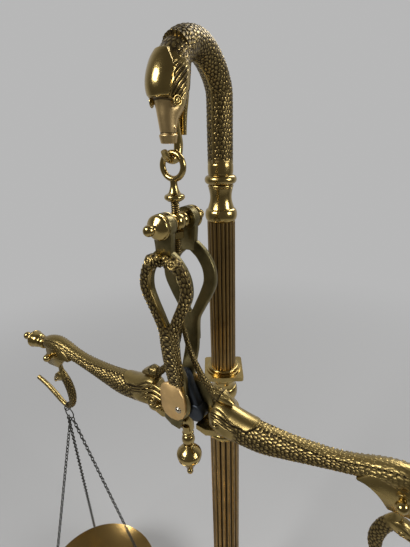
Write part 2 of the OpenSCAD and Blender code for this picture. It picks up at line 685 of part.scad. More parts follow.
base_felt();
base_foot();
base_weight();
tie_rod();
tie_nut();
column_socle();
lower_shaft();
capital();
square_plate();
plate_ring();
upper_shaft();
top_collar();
neck();
dolphin_head();
support_hook();
eye_bolt();
rod_nut();
cross_spindle();
cross_barrel();
front_cap();
rear_cap();
front_cheek();
rear_cheek();
bearing_plate();
bottom_finial();
left_arm();
right_arm();
centre_knife();
needle();
left_end_finial();
right_end_finial();
left_end_knife();
right_end_knife();
left_hook();
right_hook();
hook_ring();  // right_hook_ring
chain_ring();  // right_chain_ring
chain(chain_a, chain_lean);  // right_chain_a
chain(chain_b, -chain_lean);  // right_chain_b
chain(chain_c, 0);  // right_chain_c
pan();  // right_pan
translate([-2 * arm_l, 0, 0]) hook_ring();  // left_hook_ring
translate([-2 * arm_l, 0, 0]) chain_ring();  // left_chain_ring
translate([-2 * arm_l, 0, 0]) chain(chain_a, chain_lean);  // left_chain_a
translate([-2 * arm_l, 0, 0]) chain(chain_b, -chain_lean);  // left_chain_b
translate([-2 * arm_l, 0, 0]) chain(chain_c, 0);  // left_chain_c
translate([-2 * arm_l, 0, 0]) pan();  // left_pan
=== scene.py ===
"""An apothecary beam scale in brass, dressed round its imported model.

Lengths in the tables are millimetres in the model's own frame and become metres in the meshes.
"""
import json
import math

import bpy
import numpy as np
from mathutils import Matrix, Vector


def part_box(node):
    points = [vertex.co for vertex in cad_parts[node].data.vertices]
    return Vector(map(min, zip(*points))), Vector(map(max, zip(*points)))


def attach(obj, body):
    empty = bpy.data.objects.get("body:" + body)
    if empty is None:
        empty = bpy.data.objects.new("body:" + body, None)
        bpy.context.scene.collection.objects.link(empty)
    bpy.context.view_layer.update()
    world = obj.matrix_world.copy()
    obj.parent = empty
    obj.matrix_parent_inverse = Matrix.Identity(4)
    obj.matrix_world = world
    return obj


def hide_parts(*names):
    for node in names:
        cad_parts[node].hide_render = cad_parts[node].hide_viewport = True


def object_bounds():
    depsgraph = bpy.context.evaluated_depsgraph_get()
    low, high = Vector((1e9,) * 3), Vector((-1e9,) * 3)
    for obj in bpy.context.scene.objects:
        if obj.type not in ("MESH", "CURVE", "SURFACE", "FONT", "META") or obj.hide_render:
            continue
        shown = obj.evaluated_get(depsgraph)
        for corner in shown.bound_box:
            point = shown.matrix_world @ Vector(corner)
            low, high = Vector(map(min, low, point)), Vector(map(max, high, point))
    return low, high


bl_info = {
    "name": "Apothecary Scale",
    "version": (1, 0, 0),
    "blender": (4, 5, 0),
    "location": "View3D > Sidebar > Scale",
    "description": "Builds the brass apothecary scale piece by piece",
    "category": "Add Mesh",
}

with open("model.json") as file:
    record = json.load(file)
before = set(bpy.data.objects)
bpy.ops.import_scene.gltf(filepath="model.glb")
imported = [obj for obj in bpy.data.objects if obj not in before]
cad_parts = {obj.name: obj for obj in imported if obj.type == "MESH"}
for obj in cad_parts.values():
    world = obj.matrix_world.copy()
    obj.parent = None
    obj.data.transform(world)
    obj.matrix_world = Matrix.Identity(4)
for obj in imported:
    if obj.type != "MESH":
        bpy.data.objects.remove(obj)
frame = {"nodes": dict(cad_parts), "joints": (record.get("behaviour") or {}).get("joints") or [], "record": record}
CAD_BOX = [list(corner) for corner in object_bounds()]
MM = 0.001
TAU = 2 * math.pi
AXIS_X, AXIS_Y, AXIS_Z = np.eye(3)
JOINTS = {joint["name"]: joint for joint in frame["joints"]}


def span(node, axis=2):
    """Lowest and highest coordinate of a node along an axis, in millimetres."""
    low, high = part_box(node)
    return low[axis] / MM, high[axis] / MM


# Middles of the beam's knife edge and of the cross spindle, the distance from there to each end
# edge, and how far the hanging axis stands in front of the column
KNIFE = np.array(JOINTS["beam_tilt"]["pos_m"]) / MM
SPINDLE = KNIFE + (0, 0, 168)
ARM_L = JOINTS["right_hook_swing"]["pos_m"][0] / MM
REACH = -KNIFE[1]

# The neck: its straight stem, its radius and the rise of its arch, then the head's place
NECK_STEM, NECK_R, NECK_RISE = 54.0, 11.2, 32.6
HEAD = np.array([0, -REACH, span("neck")[0] + NECK_STEM])

# A pan is part of a ball: its radius, depth and sheet, the ball's radius, the slope at the edge
# and the middle of the sheet there as [radius, height]
PAN_R = np.ptp(span("right_pan", 0)) / 2
PAN_DEPTH, PAN_SHEET = 22.0, 1.4
PAN_BALL = (PAN_R**2 + PAN_DEPTH**2) / (2 * PAN_DEPTH)
PAN_ANGLE = math.asin(PAN_R / PAN_BALL)
PAN_EDGE = (
    PAN_R - PAN_SHEET / 2 * math.sin(PAN_ANGLE),
    span("right_pan")[0] + PAN_DEPTH + PAN_SHEET / 2 * math.cos(PAN_ANGLE),
)

# A chain: wires of its gathering ring, links and rim ring, then the rim ring's radius and a link's
# pitch, half width and lap over its neighbour
RING_WIRE, LINK_WIRE, RIM_WIRE = 0.7, 0.74, 0.6
RIM_RING, LINK_PITCH, LINK_HALF, LINK_LAP = 3.4, 4.7, 1.7, 0.5

# Colours that one finish alone has, and the dim side of the room
REED_TONE = (0.4, 0.26, 0.095)
OLIVE_TONE, OLIVE_PATINA = (0.26, 0.21, 0.095), (0.06, 0.055, 0.022)
# Lighter tone of the snout: painted light that stands in for the light falling on it
SNOUT_PAINTED_LIGHT_TONE = (0.68, 0.49, 0.23)
RIVET_TONE = (0.62, 0.55, 0.42)
MATT_TONE = (0.9, 0.62, 0.28)
IRON_TONE = (0.07, 0.068, 0.06)
FELT_TONE = (0.05, 0.1, 0.06)
ROOM_TONE = (0.1, 0.095, 0.085)

# The slot of each finish that is named otherwise, and the finish of each slot on the plain nodes
PLAIN_FINISH = {"steel": "blued_steel", "iron": "dark_iron", "felt": "base_felt"}

# The photograph's camera: its place, the way it looks and its roll in degrees
CAMERA_AT = (171.0, -300.9, 705.0)
CAMERA_DIR = (-0.50186, 0.79233, -0.34694)
CAMERA_ROLL = -1.83

# The stage in metres: half the floor's side, its gap under the foot, what the lamps look at and
# each soft box's name, place, watts and side, then the way from the camera to the pale backdrop
FLOOR_HALF, FLOOR_GAP = 6.0, 0.0002
LAMP_AIM = (0.0, -0.05, 0.52)
LAMPS = (
    ("key_box", (-0.55, -1.3, 1.55), 22.0, 0.7),
    ("side_box", (1.5, 0.1, 1.1), 12.0, 0.6),
    ("rim_box", (0.2, 1.3, 1.7), 14.0, 0.8),
)
BACKDROP_WAY = (-0.535, 0.845, 0.0)


# Profiles and paths


def bead(z0, z1, r, b, n=16):
    """Half an ellipse in the profile: from z0 to z1, standing b proud of radius r."""
    a = np.linspace(0, math.pi, n)
    return np.stack([r + b * np.sin(a), z0 + (z1 - z0) * (1 - np.cos(a)) / 2], 1)


def cove(z0, z1, r0, r1, d, n=16):
    """A straight run from radius r0 at z0 to r1 at z1, hollowed by d along a half sine."""
    k = np.linspace(0, 1, n)
    return np.stack([r0 + (r1 - r0) * k - d * np.sin(math.pi * k), z0 + (z1 - z0) * k], 1)


def profile(*runs):
    """Profile runs joined end to end, each an array or a list of [radius, height] points."""
    return np.concatenate([np.array(run, float) for run in runs])


def between(knots, values, t):
    """Smooth values between the knots: cubic pieces whose slopes are the neighbours' chords."""
    slope = np.gradient(values, knots, axis=0)
    slope[1:-1] = (values[2:] - values[:-2]) / (knots[2:] - knots[:-2])[:, None]
    i = np.clip(np.searchsorted(knots, t, side="right") - 1, 0, len(knots) - 2)
    gap = knots[i + 1] - knots[i]
    d, u = gap[:, None], ((t - knots[i]) / gap)[:, None]
    return (
        values[i] * (1 - 3 * u**2 + 2 * u**3)
        + values[i + 1] * (3 * u**2 - 2 * u**3)
        + d * slope[i] * (u - 2 * u**2 + u**3)
        + d * slope[i + 1] * (u**3 - u**2)
    )


def angles(n):
    """Even angles once round."""
    return np.linspace(0, TAU, n, endpoint=False)


def unit(v):
    """Vectors of length one along the last axis."""
    return v / np.maximum(np.linalg.norm(v, axis=-1, keepdims=True), 1e-9)


def swept(rows, at, side, nu, nv, power=1.0, knots=None):
    """A body along a path of rows [x, y, z, half width, half height] from a place.

    Rows of four have no coordinate along side, because their path lies in the plane square to it.
    P(u, v) = c(u) + a(u) cos(v) side + b(u) sin(v) up(u), where up is side x tangent; a power under
    one makes the section squarer. The knots are the rows' places along u: 0, 1, 2 and so on where
    none are given. Returns the points, the outward directions, and the length along the path as a
    column and the angle v as a row.
    """
    rows = np.array(rows, float)
    if rows.shape[1] == 4:
        rows = np.insert(rows, np.argmax(side), 0, axis=1)
    rows[:, :3] += at
    knots = np.arange(len(rows), dtype=float) if knots is None else np.array(knots, float)
    values = between(knots, rows, np.linspace(knots[0], knots[-1], nu))
    centre, a, b = values[:, :3], values[:, 3, None, None], values[:, 4, None, None]
    tangent = unit(np.gradient(centre, axis=0))
    up = unit(np.cross(side, tangent))[:, None]
    v = angles(nv)
    c, s = (np.sign(w) * np.abs(w) ** power for w in (np.cos(v)[:, None], np.sin(v)[:, None]))
    points = centre[:, None] + a * c * side + b * s * up
    out = unit(b * c * side + a * s * up)
    length = np.concatenate([[0], np.cumsum(np.linalg.norm(np.diff(centre, axis=0), axis=1))])
    return points, out, length[:, None], v[None]


def scale_relief(length, v, count, step):
    """Height from 0 to 1 of overlapping fish scales, a count of them around, staggered row by row.

    Each scale is a rounded tongue one step long that rises towards its tip; the height at a point
    is the highest tongue over it. Sine waves shift the rows a little, as chasing by hand does.
    """
    around = v / TAU * count
    sway = 0.16 * np.sin(around * 2.3 + length * 0.21) + 0.12 * np.sin(length * 0.83 - around * 1.1)
    around = around + 0.13 * np.sin(length * 1.37 / step + around * 0.7) + 0.08 * np.sin(length * 0.47)
    along = length + step * sway
    half_width = 0.56
    best = np.zeros(along.shape)
    for offset in (-1, 0, 1):
        row = np.floor(along / step) + offset
        shift = np.where(np.mod(row, 2) == 0, 0.0, 0.5)
        dy = (around - shift - np.round(around - shift)) / half_width
        dx = along / step - row
        inside = (dx - 0.2) ** 2 / 1.1 + dy**2 < 1
        height = np.clip(0.42 + 0.5 * dx, 0, 1) * (1 - 0.5 * dy**2)
        best = np.maximum(best, np.where(inside & (dx > -0.9), height, 0))
    return best


def smooth(x, low, high):
    """0 below low, 1 above high, and a smooth step between them."""
    k = np.clip((x - low) / (high - low), 0, 1)
    return k * k * (3 - 2 * k)


def window(x, up0, up1, down0, down1):
    """Rises smoothly from 0 to 1 between the first two places and falls back between the last two."""
    return smooth(x, up0, up1) * (1 - smooth(x, down0, down1))


def bump(x, centre, width):
    """A bell of height 1."""
    return np.exp(-(((x - centre) / width) ** 2))


def apart(v, middle):
    """Degrees round the section from a middle direction, without a sign."""
    return np.abs((np.degrees(v) - middle + 180) % 360 - 180)


# Meshes


def skin(points, relief=None, ring=False):
    """Faces over a grid of points (rows, columns, xyz) that closes along its columns.

    A ring also closes along its rows; otherwise each end gets a middle point. Faces are turned to
    point outwards by the sign of the enclosed volume.
    """
    rows, cols = points.shape[:2]
    verts = points.reshape(-1, 3)
    high = np.zeros(len(verts)) if relief is None else np.broadcast_to(relief, (rows, cols)).reshape(-1)
    last = rows if ring else rows - 1
    i, j = np.meshgrid(np.arange(last), np.arange(cols), indexing="ij")
    this, following = i * cols, (i + 1) % rows * cols
    beside = (j + 1) % cols
    quads = np.stack([this + j, this + beside, following + beside, following + j], -1).reshape(-1, 4)
    tris = np.zeros((0, 3), int)
    if not ring:
        n, k = len(verts), np.arange(cols)
        verts = np.concatenate([verts, points[0].mean(0)[None], points[-1].mean(0)[None]])
        high = np.concatenate([high, [high[:cols].mean(), high[-cols:].mean()]])
        end = (rows - 1) * cols
        first_fan = np.stack([(k + 1) % cols, k, np.full(cols, n)], 1)
        last_fan = np.stack([end + k, end + (k + 1) % cols, np.full(cols, n + 1)], 1)
        tris = np.concatenate([first_fan, last_fan])
    p = verts[quads] - verts.mean(0)
    volume = np.einsum("ij,ij->i", p[:, 0], np.cross(p[:, 1] - p[:, 3], p[:, 2] - p[:, 0])).sum()
    if volume < 0:
        quads, tris = quads[:, ::-1], tris[:, ::-1]
    return verts, quads, tris, high


def new_object(name, data):
    """An object of the scene for a mesh, a lamp or a camera."""
    obj = bpy.data.objects.new(name, data)
    bpy.context.scene.collection.objects.link(obj)
    return obj


def piece(name, skins, finish, body, *nodes, sharp=50):
    """One object from several skins, in metres, riding on a body and standing for CAD nodes."""
    verts, faces, high, base = [], [], [], 0
    for v, quads, tris, h in skins:
        verts.append(v)
        high.append(h)
        faces += (quads + base).tolist() + (tris + base).tolist()
        base += len(v)
    mesh = bpy.data.meshes.new(name)
    mesh.from_pydata((np.concatenate(verts) * MM).tolist(), [], faces)
    # The relief attribute holds how dark the finish makes each point: patina in the hollows and, in some places,
    # painted shade
    layer = mesh.attributes.new("relief", "FLOAT", "POINT")
    layer.data.foreach_set("value", np.concatenate(high).astype(np.float32))
    mesh.polygons.foreach_set("use_smooth", np.ones(len(mesh.polygons), bool))
    mesh.set_sharp_from_angle(angle=math.radians(sharp))
    mesh.materials.append(finishes()[finish])
    mesh.update()
    obj = new_object(name, mesh)
    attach(obj, body)
    if nodes:
        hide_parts(*nodes)
    return obj


def lathe(points, at, axis="z", n=72):
    """A turned body: the profile [radius, height] carried round an axis through a place."""
    points = np.array(points, float)
    v = angles(n)
    r, h = points[:, 0][:, None], points[:, 1][:, None]
    x, y, z = r * np.cos(v), r * np.sin(v), h + 0 * v
    grid = {"z": (x, y, z), "x": (z, x, y), "y": (y, z, x), "-y": (x, -z, y)}[axis]
    return skin(np.stack(grid, -1) + at)


def torus(centre, normal, radius, wire, nu=40, nv=14):
    """A ring of round wire about a centre, square to a normal."""
    normal = unit(np.array(normal, float))
    e1 = unit(np.cross(normal, AXIS_Y if abs(normal[1]) < 0.9 else AXIS_X))
    e2 = np.cross(normal, e1)
    u = angles(nu)[:, None, None]
    v = angles(nv)[None, :, None]
    out = np.cos(u) * e1 + np.sin(u) * e2
    return skin(centre + out * (radius + wire * np.cos(v)) + normal * wire * np.sin(v), ring=True)


def grown(points, out, height):
    """Points moved outwards by a height in millimetres."""
    return points + out * np.broadcast_to(height, points.shape[:2])[..., None]


def ball(centre, axes, n=28):
    """An ellipsoid on three half-axis vectors, or on half axes along X, Y and Z by their lengths."""
    a, b, c = np.diag(axes) if np.ndim(axes) == 1 else np.array(axes)
    u = np.linspace(-1.5, 1.5, n)[:, None, None]
    v = angles(n)[None, :, None]
    return skin(centre + np.cos(u) * (np.cos(v) * a + np.sin(v) * b) + np.sin(u) * c)


def lidded_eye(at, axes, normal, radius, wire, n=14, nu=24, nv=8):
    """An eyeball with a ring of lid about it."""
    return [ball(at, axes, n), torus(at, normal, radius, wire, nu, nv)]


def slab(outline, y0, y1, bevel, at, deep=None):
    """A plate across Y: an outline of [x, z] points between y0 and y1, its edges bevelled.

    The bevel is as deep along Y as it is wide unless a depth is given.
    """
    deep = bevel if deep is None else deep
    outline = np.array(outline, float)
    inner = outline - bevel * unit(outline - outline.mean(0))
    rows = [(y0, inner), (y0 + deep, outline), (y1 - deep, outline), (y1, inner)]
    grid = [np.stack([r[:, 0], np.full(len(r), y), r[:, 1]], -1) for y, r in rows]
    return skin(np.array(grid) + at)


def turned_round(skins):
    """The same skins turned half a turn about the hanging axis."""
    return [(v * (-1, -1, 1) + (0, -2 * REACH, 0), quads, tris, h) for v, quads, tris, h in skins]


def both_sides(skins):
    """Each side's name with the skins of its piece, of which the right ones are given."""
    return ("right", skins), ("left", turned_round(skins))


def mirrored(skins):
    """The same skins mirrored across x = 0, with their faces turned back."""
    return [(v * (-1, 1, 1), quads[:, ::-1], tris[:, ::-1], h) for v, quads, tris, h in skins]


# Materials


def feed(tree, node, inputs):
    """Gives a node its inputs, each a value or another node's output."""
    for key, value in inputs.items():
        if isinstance(value, bpy.types.NodeSocket):
            tree.links.new(value, node.inputs[key])
        else:
            node.inputs[key].default_value = value


def output(tree, kind, name, inputs, **settings):
    """The named output of a new shader node with its settings and inputs."""
    node = tree.nodes.new(f"ShaderNode{kind}")
    for key, value in settings.items():
        setattr(node, key, value)
    feed(tree, node, inputs)
    return node.outputs[name]


def mixed(tree, factor, first, second):
    """Two colours mixed by a factor."""
    colours = {"Factor": factor, "A": (*first, 1), "B": (*second, 1)}
    return output(tree, "Mix", "Result", colours, data_type="RGBA")


def noise(tree, place, scale, detail, **inputs):
    """Clouds of noise at a place."""
    return output(tree, "TexNoise", "Fac", {"Vector": place, "Scale": scale, "Detail": detail, **inputs})


def ramp(tree, value, inputs, **settings):
    """A value carried from one range to another."""
    return output(tree, "MapRange", "Result", {"Value": value, **inputs}, **settings)


def new_tree(name):
    """A new material, its node tree and the Object coordinates in it."""
    mat = bpy.data.materials.new(name)
    mat.use_nodes = True
    return mat, mat.node_tree, output(mat.node_tree, "TexCoord", "Object", {})


def brass(name, bright, dark, roughness, patina, scale=60.0, crevice_and_shade=1.0):
    """Worn brass: patches of brown patina over metal, dark in the hollows of the relief, and dark with painted
    shade where the relief attribute carries it under overhangs.
    """
    _, tree, place = new_tree(f"{name}_look")
    cloud = noise(tree, place, scale, 6.0, Roughness=0.62)
    fine = noise(tree, place, scale * 14, 4.0)
    relief = output(tree, "Attribute", "Fac", {}, attribute_name="relief")
    stain = ramp(tree, cloud, {"From Min": 0.38, "From Max": 0.68, "To Min": 0.0, "To Max": patina})
    # Darkening by the relief attribute: patina in the hollows, and painted shade under the dolphin's dome, the
    # arms' crests and the hooks' brows
    hollow_and_shade = ramp(tree, relief, {"From Min": -0.5, "From Max": 0.0, "To Min": crevice_and_shade, "To Max": 0.0})
    tarnish_and_shade = output(tree, "Math", "Value", {0: stain, 1: hollow_and_shade}, operation="MAXIMUM")
    feed(tree, tree.nodes["Principled BSDF"], {
        "Metallic": 1.0,
        "Base Color": mixed(tree, tarnish_and_shade, bright, dark),
        "Roughness": ramp(tree, tarnish_and_shade, {"To Min": roughness[0], "To Max": roughness[1]}),
        "Normal": output(tree, "Bump", "Normal", {"Height": fine, "Strength": 0.12, "Distance": 0.0006}),
    })


def dull_metal(name, tone, metallic, roughness, scale=90.0):
    """Dull dark metal or felt: two shades of a tone mixed by noise, with a fine grain."""
    _, tree, place = new_tree(f"{name}_look")
    cloud = noise(tree, place, scale, 5.0)
    feed(tree, tree.nodes["Principled BSDF"], {
        "Metallic": metallic,
        "Base Color": mixed(tree, cloud, [0.55 * c for c in tone], [1.5 * c for c in tone]),
        "Roughness": ramp(tree, cloud, {"To Min": roughness[0], "To Max": roughness[1]}),
        "Normal": output(tree, "Bump", "Normal", {"Height": cloud, "Strength": 0.25, "Distance": 0.0004}),
    })


def finishes():
    """Every finish of the scale by name, made once."""
    if "turned_brass_look" in bpy.data.materials:
        return {m.name.removesuffix("_look"): m for m in bpy.data.materials if m.name.endswith("_look")}
    look = bpy.context.scene.scale_look
    bright, dark = tuple(look.brass), tuple(look.patina)
    brass("turned_brass", bright, dark, (0.16, 0.4), 0.4)
    brass("reeded_brass", REED_TONE, dark, (0.28, 0.5), 0.6, crevice_and_shade=0.95)
    brass("cast_brass", [0.82 * c for c in bright], [0.5 * c for c in dark], (0.24, 0.55), 0.35)
    brass("polished_brass", bright, dark, (0.14, 0.36), 0.35)
    brass("olive_brass", OLIVE_TONE, OLIVE_PATINA, (0.34, 0.55), 0.8, scale=40.0)
    # The snout's finish: its roughness is a matt finish, its lighter tone is painted light
    brass("worn_brass", SNOUT_PAINTED_LIGHT_TONE, dark, (0.34, 0.5), 0.25)
    brass("rivet_brass", RIVET_TONE, dark, (0.12, 0.2), 0.1)
    brass("matt_brass", MATT_TONE, dark, (0.5, 0.62), 0.2)
    brass("pan_brass", tuple(look.pan), dark, (0.16, 0.35), 0.12)
    dull_metal("blued_steel", tuple(look.steel), 0.85, (0.3, 0.55))
    dull_metal("dark_iron", IRON_TONE, 0.7, (0.4, 0.6), 300.0)
    dull_metal("base_felt", FELT_TONE, 0.0, (0.9, 1.0), 900.0)
    return finishes()


# Properties


def tint(name, what, default):
    """A colour that the user can change."""
    about = f"Colour of the {what}"
    return bpy.props.FloatVectorProperty(name=name, description=about, subtype="COLOR", default=default)


class ScaleLook(bpy.types.PropertyGroup):
    """Colours that a user would change."""

    brass: tint("Brass", "clean brass", (0.51, 0.375, 0.14))
    patina: tint("Patina", "tarnish in the hollows", (0.085, 0.06, 0.03))
    pan: tint("Pan", "polished pans", (0.66, 0.43, 0.15))
    steel: tint("Steel", "blued steel", (0.045, 0.052, 0.062))
    backdrop: tint("Backdrop", "floor and backdrop", (0.475, 0.475, 0.475))


class ScaleSize(bpy.types.PropertyGroup):
    """Sizes of the relief and the camera."""

    scale_step: bpy.props.FloatProperty(
        name="Scale step", description="Length of one fish scale", default=3.4, min=2.0, max=6.0
    )
    scale_depth: bpy.props.FloatProperty(
        name="Scale depth", description="How far a fish scale stands proud", default=0.55, min=0.1, max=1.5
    )
    lens: bpy.props.FloatProperty(name="Lens", description="Focal length in millimetres", default=25.0)


# Pieces


class SCALE_OT_plain_nodes(bpy.types.Operator):
    """Gives each CAD node that stays its finish"""

    bl_idname = "scale.plain_nodes"
    bl_label = "Finish the plain nodes"

    def execute(self, context):
        made = finishes()
        slots = {part["node"]: part["material_slot"] for part in frame["record"]["subparts"]}
        for node, obj in frame["nodes"].items():
            finish = PLAIN_FINISH.get(slots[node], slots[node])
            # The end pins are steel that is as yellow as brass in the photograph
            if node.endswith("end_knife"):
                finish = "polished_brass"
            obj.data.materials.clear()
            obj.data.materials.append(made[finish])
        return {"FINISHED"}


class SCALE_OT_column(bpy.types.Operator):
    """Foot, socle, reeded shafts, capital, ring and collar of the column"""

    bl_idname = "scale.column"
    bl_label = "Build the column"

    def execute(self, context):
        foot = profile([[104, 0], [104, 6]], bead(6, 12, 100, 2.5), cove(13, 20.9, 96, 62, 5),
                       bead(21.3, 26.6, 60, 3), cove(27.4, 38, 56, 32, 5))
        h = np.ptp(span("column_socle"))
        socle = profile([[30, 0], [30, h * 0.1]], bead(h * 0.1, h * 0.26, 28, 3),
                        cove(h * 0.28, h * 0.62, 25, 18, 4), bead(h * 0.63, h * 0.8, 18, 3.5),
                        [[18, h * 0.82]], bead(h * 0.84, h * 0.96, 17, 1.8), [[17, h]])
        h = np.ptp(span("capital"))
        capital = profile([[17, 0]], bead(h * 0.01, h * 0.1, 17, 2.2), [[16.5, h * 0.12]],
                          cove(h * 0.12, h * 0.36, 16.5, 16.8, 1.4), bead(h * 0.37, h * 0.45, 15.6, 1.4),
                          cove(h * 0.46, h * 0.62, 14.6, 12.4, 1.2), bead(h * 0.63, h * 0.79, 12.6, 1.9),
                          cove(h * 0.8, h * 0.9, 12.4, 13.4, 0.6), bead(h * 0.91, h * 0.97, 13.2, 0.9),
                          [[13.6, h]])
        h = np.ptp(span("top_collar"))
        collar = profile([[12.9, 0]], bead(0.5, h * 0.22, 12.3, 2.3), cove(h * 0.23, h * 0.58, 12, 11, 1.7),
                         bead(h * 0.59, h * 0.64, 10.6, 0.9), bead(h * 0.65, h * 0.8, 11, 3.3),
                         [[11, h * 0.81]], bead(h * 0.82, h * 0.985, 11, 0.35), [[11, h]])
        ring = profile([[18, 0], [18, 1.5], [16.3, 1.8]], bead(1.8, 4.8, 14.5, 1.6), [[12.9, 5]])
        for name, node, points, n in (
            ("round_foot", "base_foot", foot, 128),
            ("socle", "column_socle", socle, 96),
            ("capital_turned", "capital", capital, 96),
            ("collar_turned", "top_collar", collar, 96),
            ("ring_turned", "plate_ring", ring, 96),
        ):
            piece(name, [lathe(points, (0, 0, span(node)[0]), n=n)], "turned_brass", "stand", node)
        self.reeds("lower_reeds", "lower_shaft", 16.5, 16)
        self.reeds("upper_reeds", "upper_shaft", 12.9, 20)
        return {"FINISHED"}

    def reeds(self, name, node, radius, count):
        """A shaft of round reeds: at an angle v the surface is the circle of the nearest reed."""
        v = angles(count * 16)
        reed = math.pi * radius / (count + math.pi)
        middle = radius - reed
        w = v - np.round(v * count / TAU) * TAU / count
        r = middle * np.cos(w) + np.sqrt(np.maximum(reed**2 - (middle * np.sin(w)) ** 2, 0))
        relief = (r - radius) / (radius - r.min())
        heights = np.linspace(*span(node), 5)[:, None, None]
        grid = np.stack([r * np.cos(v), r * np.sin(v), 0 * v], -1)[None] + AXIS_Z * heights
        piece(name, [skin(grid, relief[None])], "reeded_brass", "stand", node, sharp=80)


class SCALE_OT_crook(bpy.types.Operator):
    """Scaled neck that arches forward from the column"""

    bl_idname = "scale.crook"
    bl_label = "Build the neck"

    def execute(self, context):
        size = context.scene.scale_size
        # The stem stands straight; on the arch y goes by a power of a cosine and z by one of a sine,
        # which is flatter on the column's side and fuller on the head's
        knots = [-0.5, -0.25]
        rows = [[0, -NECK_STEM, NECK_R, NECK_R], [0, -NECK_STEM / 2, NECK_R, NECK_R]]
        for t in np.linspace(0, 0.72, 8):
            c, s = math.cos(math.pi * t), math.sin(math.pi * t)
            power = 1.25 if c > 0 else 0.88
            y = -REACH / 2 + REACH / 2 * abs(c) ** power * math.copysign(1, c)
            knots.append(t)
            rows.append([y, NECK_RISE * s**power, NECK_R, NECK_R])
        points, out, length, v = swept(rows, (0, 0, HEAD[2]), AXIS_X, 300, 176, knots=knots)
        ridge = bump(apart(v, 93), 0, 5)
        relief = np.maximum(scale_relief(length, v, 22, size.scale_step), ridge * 1.15)
        ends = np.clip((length - 1) / 2, 0, 1)
        height = (relief - 0.9) * size.scale_depth * 1.3 * ends + 0.8 * ridge
        solid = skin(grown(points, out, height), (relief - 1) * ends)
        piece("scaled_neck", [solid], "cast_brass", "stand", "neck")
        return {"FINISHED"}


class SCALE_OT_dolphin(bpy.types.Operator):
    """Dolphin's head that hangs from the neck, with the hook in its mouth"""

    bl_idname = "scale.dolphin"
    bl_label = "Build the dolphin's head"

    def execute(self, context):
        grid, tone = self.crown()
        # The snout's brass is matter and lighter from this row on: the roughness is its matt finish, the lighter
        # colour is painted light standing in for the light on the snout
        cut = 195
        jaw = [[15, 6, 7.4, 3.4], [14.4, -6, 6, 3], [13.6, -17, 4.8, 2.4], [13, -30, 4, 2.1]]
        skins = [skin(grid[:cut + 1], tone[:cut + 1]), skin(swept(jaw, HEAD, AXIS_X, 40, 48, 0.7)[0])]
        for s in (-1, 1):
            at = HEAD + (s * 10.3, -5.6, -8.2)
            normal = (1, -0.35 * s, 0)
            skins.append(ball(at, (1.6, 2.6, 2.2)))
            skins.append(torus(at + (s * 0.7, 0, 0), normal, 3.1, 0.65))
            skins.append(torus(at + (s * 1.2, 0, 0), normal, 1.3, 0.4))
        piece("dolphin", skins, "polished_brass", "stand", "dolphin_head")
        piece("snout", [skin(grid[cut:], tone[cut:])], "worn_brass", "stand")
        piece("mouth_hook", [self.hook()], "polished_brass", "stand", "support_hook")
        return {"FINISHED"}

    def crown(self):
        """Grid and tone of the head: a dome over a fan of rays, then brow, nostrils and lips.

        t runs from the neck at 0 to the lips at 7 and d is the angle from the front in degrees.
        """
        rows = [[24, 31.2, 11.3, 11.3], [11.6, 22.4, 11.6, 11.8], [4.6, 12.4, 13.2, 14.4],
                [0.8, 1, 13.4, 15.8], [0.6, -8, 10.8, 13], [-2.2, -18, 7.4, 8],
                [-3, -28, 5.8, 5.6], [-3, -35.4, 4.4, 4]]
        points, out, length, v = swept(rows, HEAD, AXIS_X, 320, 200)
        t = np.linspace(0, 7, 320)[:, None]
        d = apart(v, 270)
        edge = 24 + 26 * smooth(t, 1.5, 2.4) - 10 * smooth(t, 2.9, 4)
        dome = smooth(edge - d, 0, 5) * window(t, 1.45, 1.65, 3.95, 4.1)
        rays = 0.5 + 0.5 * np.cos(TAU * (d + 30.3 * t - 135) / 12.5)
        fan = window(d, edge + 2, edge + 6, 92, 98) * window(t, 1.9, 2.2, 3.75, 3.95)
        back = scale_relief(length, v, 22, 3.4)
        scaly = (1 - smooth(t, 1.6, 1.9)) * (1 - dome)
        brow = bump(t, 3.95, 0.13) * window(d, 46, 52, 88, 94)
        lip = window(t, 6.05, 6.25, 6.95, 7)
        band = bump(t, 3.62, 0.05) * dome
        socket = bump(t, 4.25, 0.28) * bump(d, 70, 14)
        nostril = bump(t, 5.7, 0.12) * bump(d, 86, 9)
        height = 2.1 * dome + 1.1 * rays * fan - 0.3 * fan + 0.55 * (back - 0.9) * scaly + 1.4 * brow
        height += 1.3 * lip - 0.5 * band - 1.5 * socket + 0.9 * nostril
        tone = -0.75 * (1 - rays) * fan + (back - 1) * scaly - 0.5 * bump(t, 6.05, 0.06)
        # The first term is painted shade: a dark band under the dome's lower edge, where the dome overhangs the
        # snout; the second darkens the eye sockets
        tone -= 0.8 * bump(t, 4.16, 0.1) * smooth(edge + 14 - d, 0, 6) + 0.6 * socket * (1 - brow)
        return grown(points, out, height), np.clip(tone, -1, 0)

    def hook(self):
        """A shank that leans back out of the mouth and curls forward through the eye bolt's ring."""
        lean = math.tan(math.radians(11.5))
        rows = [[3.5 + drop * lean, -12.1 - drop, 3.2, 3.2] for drop in (0, 8, 16, 24)]
        rows += [[6.2, -44.4, 3.2, 2.9], [0, -47, 3, 2.7], [-6.4, -44.2, 2.9, 2.5], [-9.6, -40, 2.3, 1.9]]
        return skin(swept(rows, HEAD, AXIS_X, 70, 32, 0.8)[0])


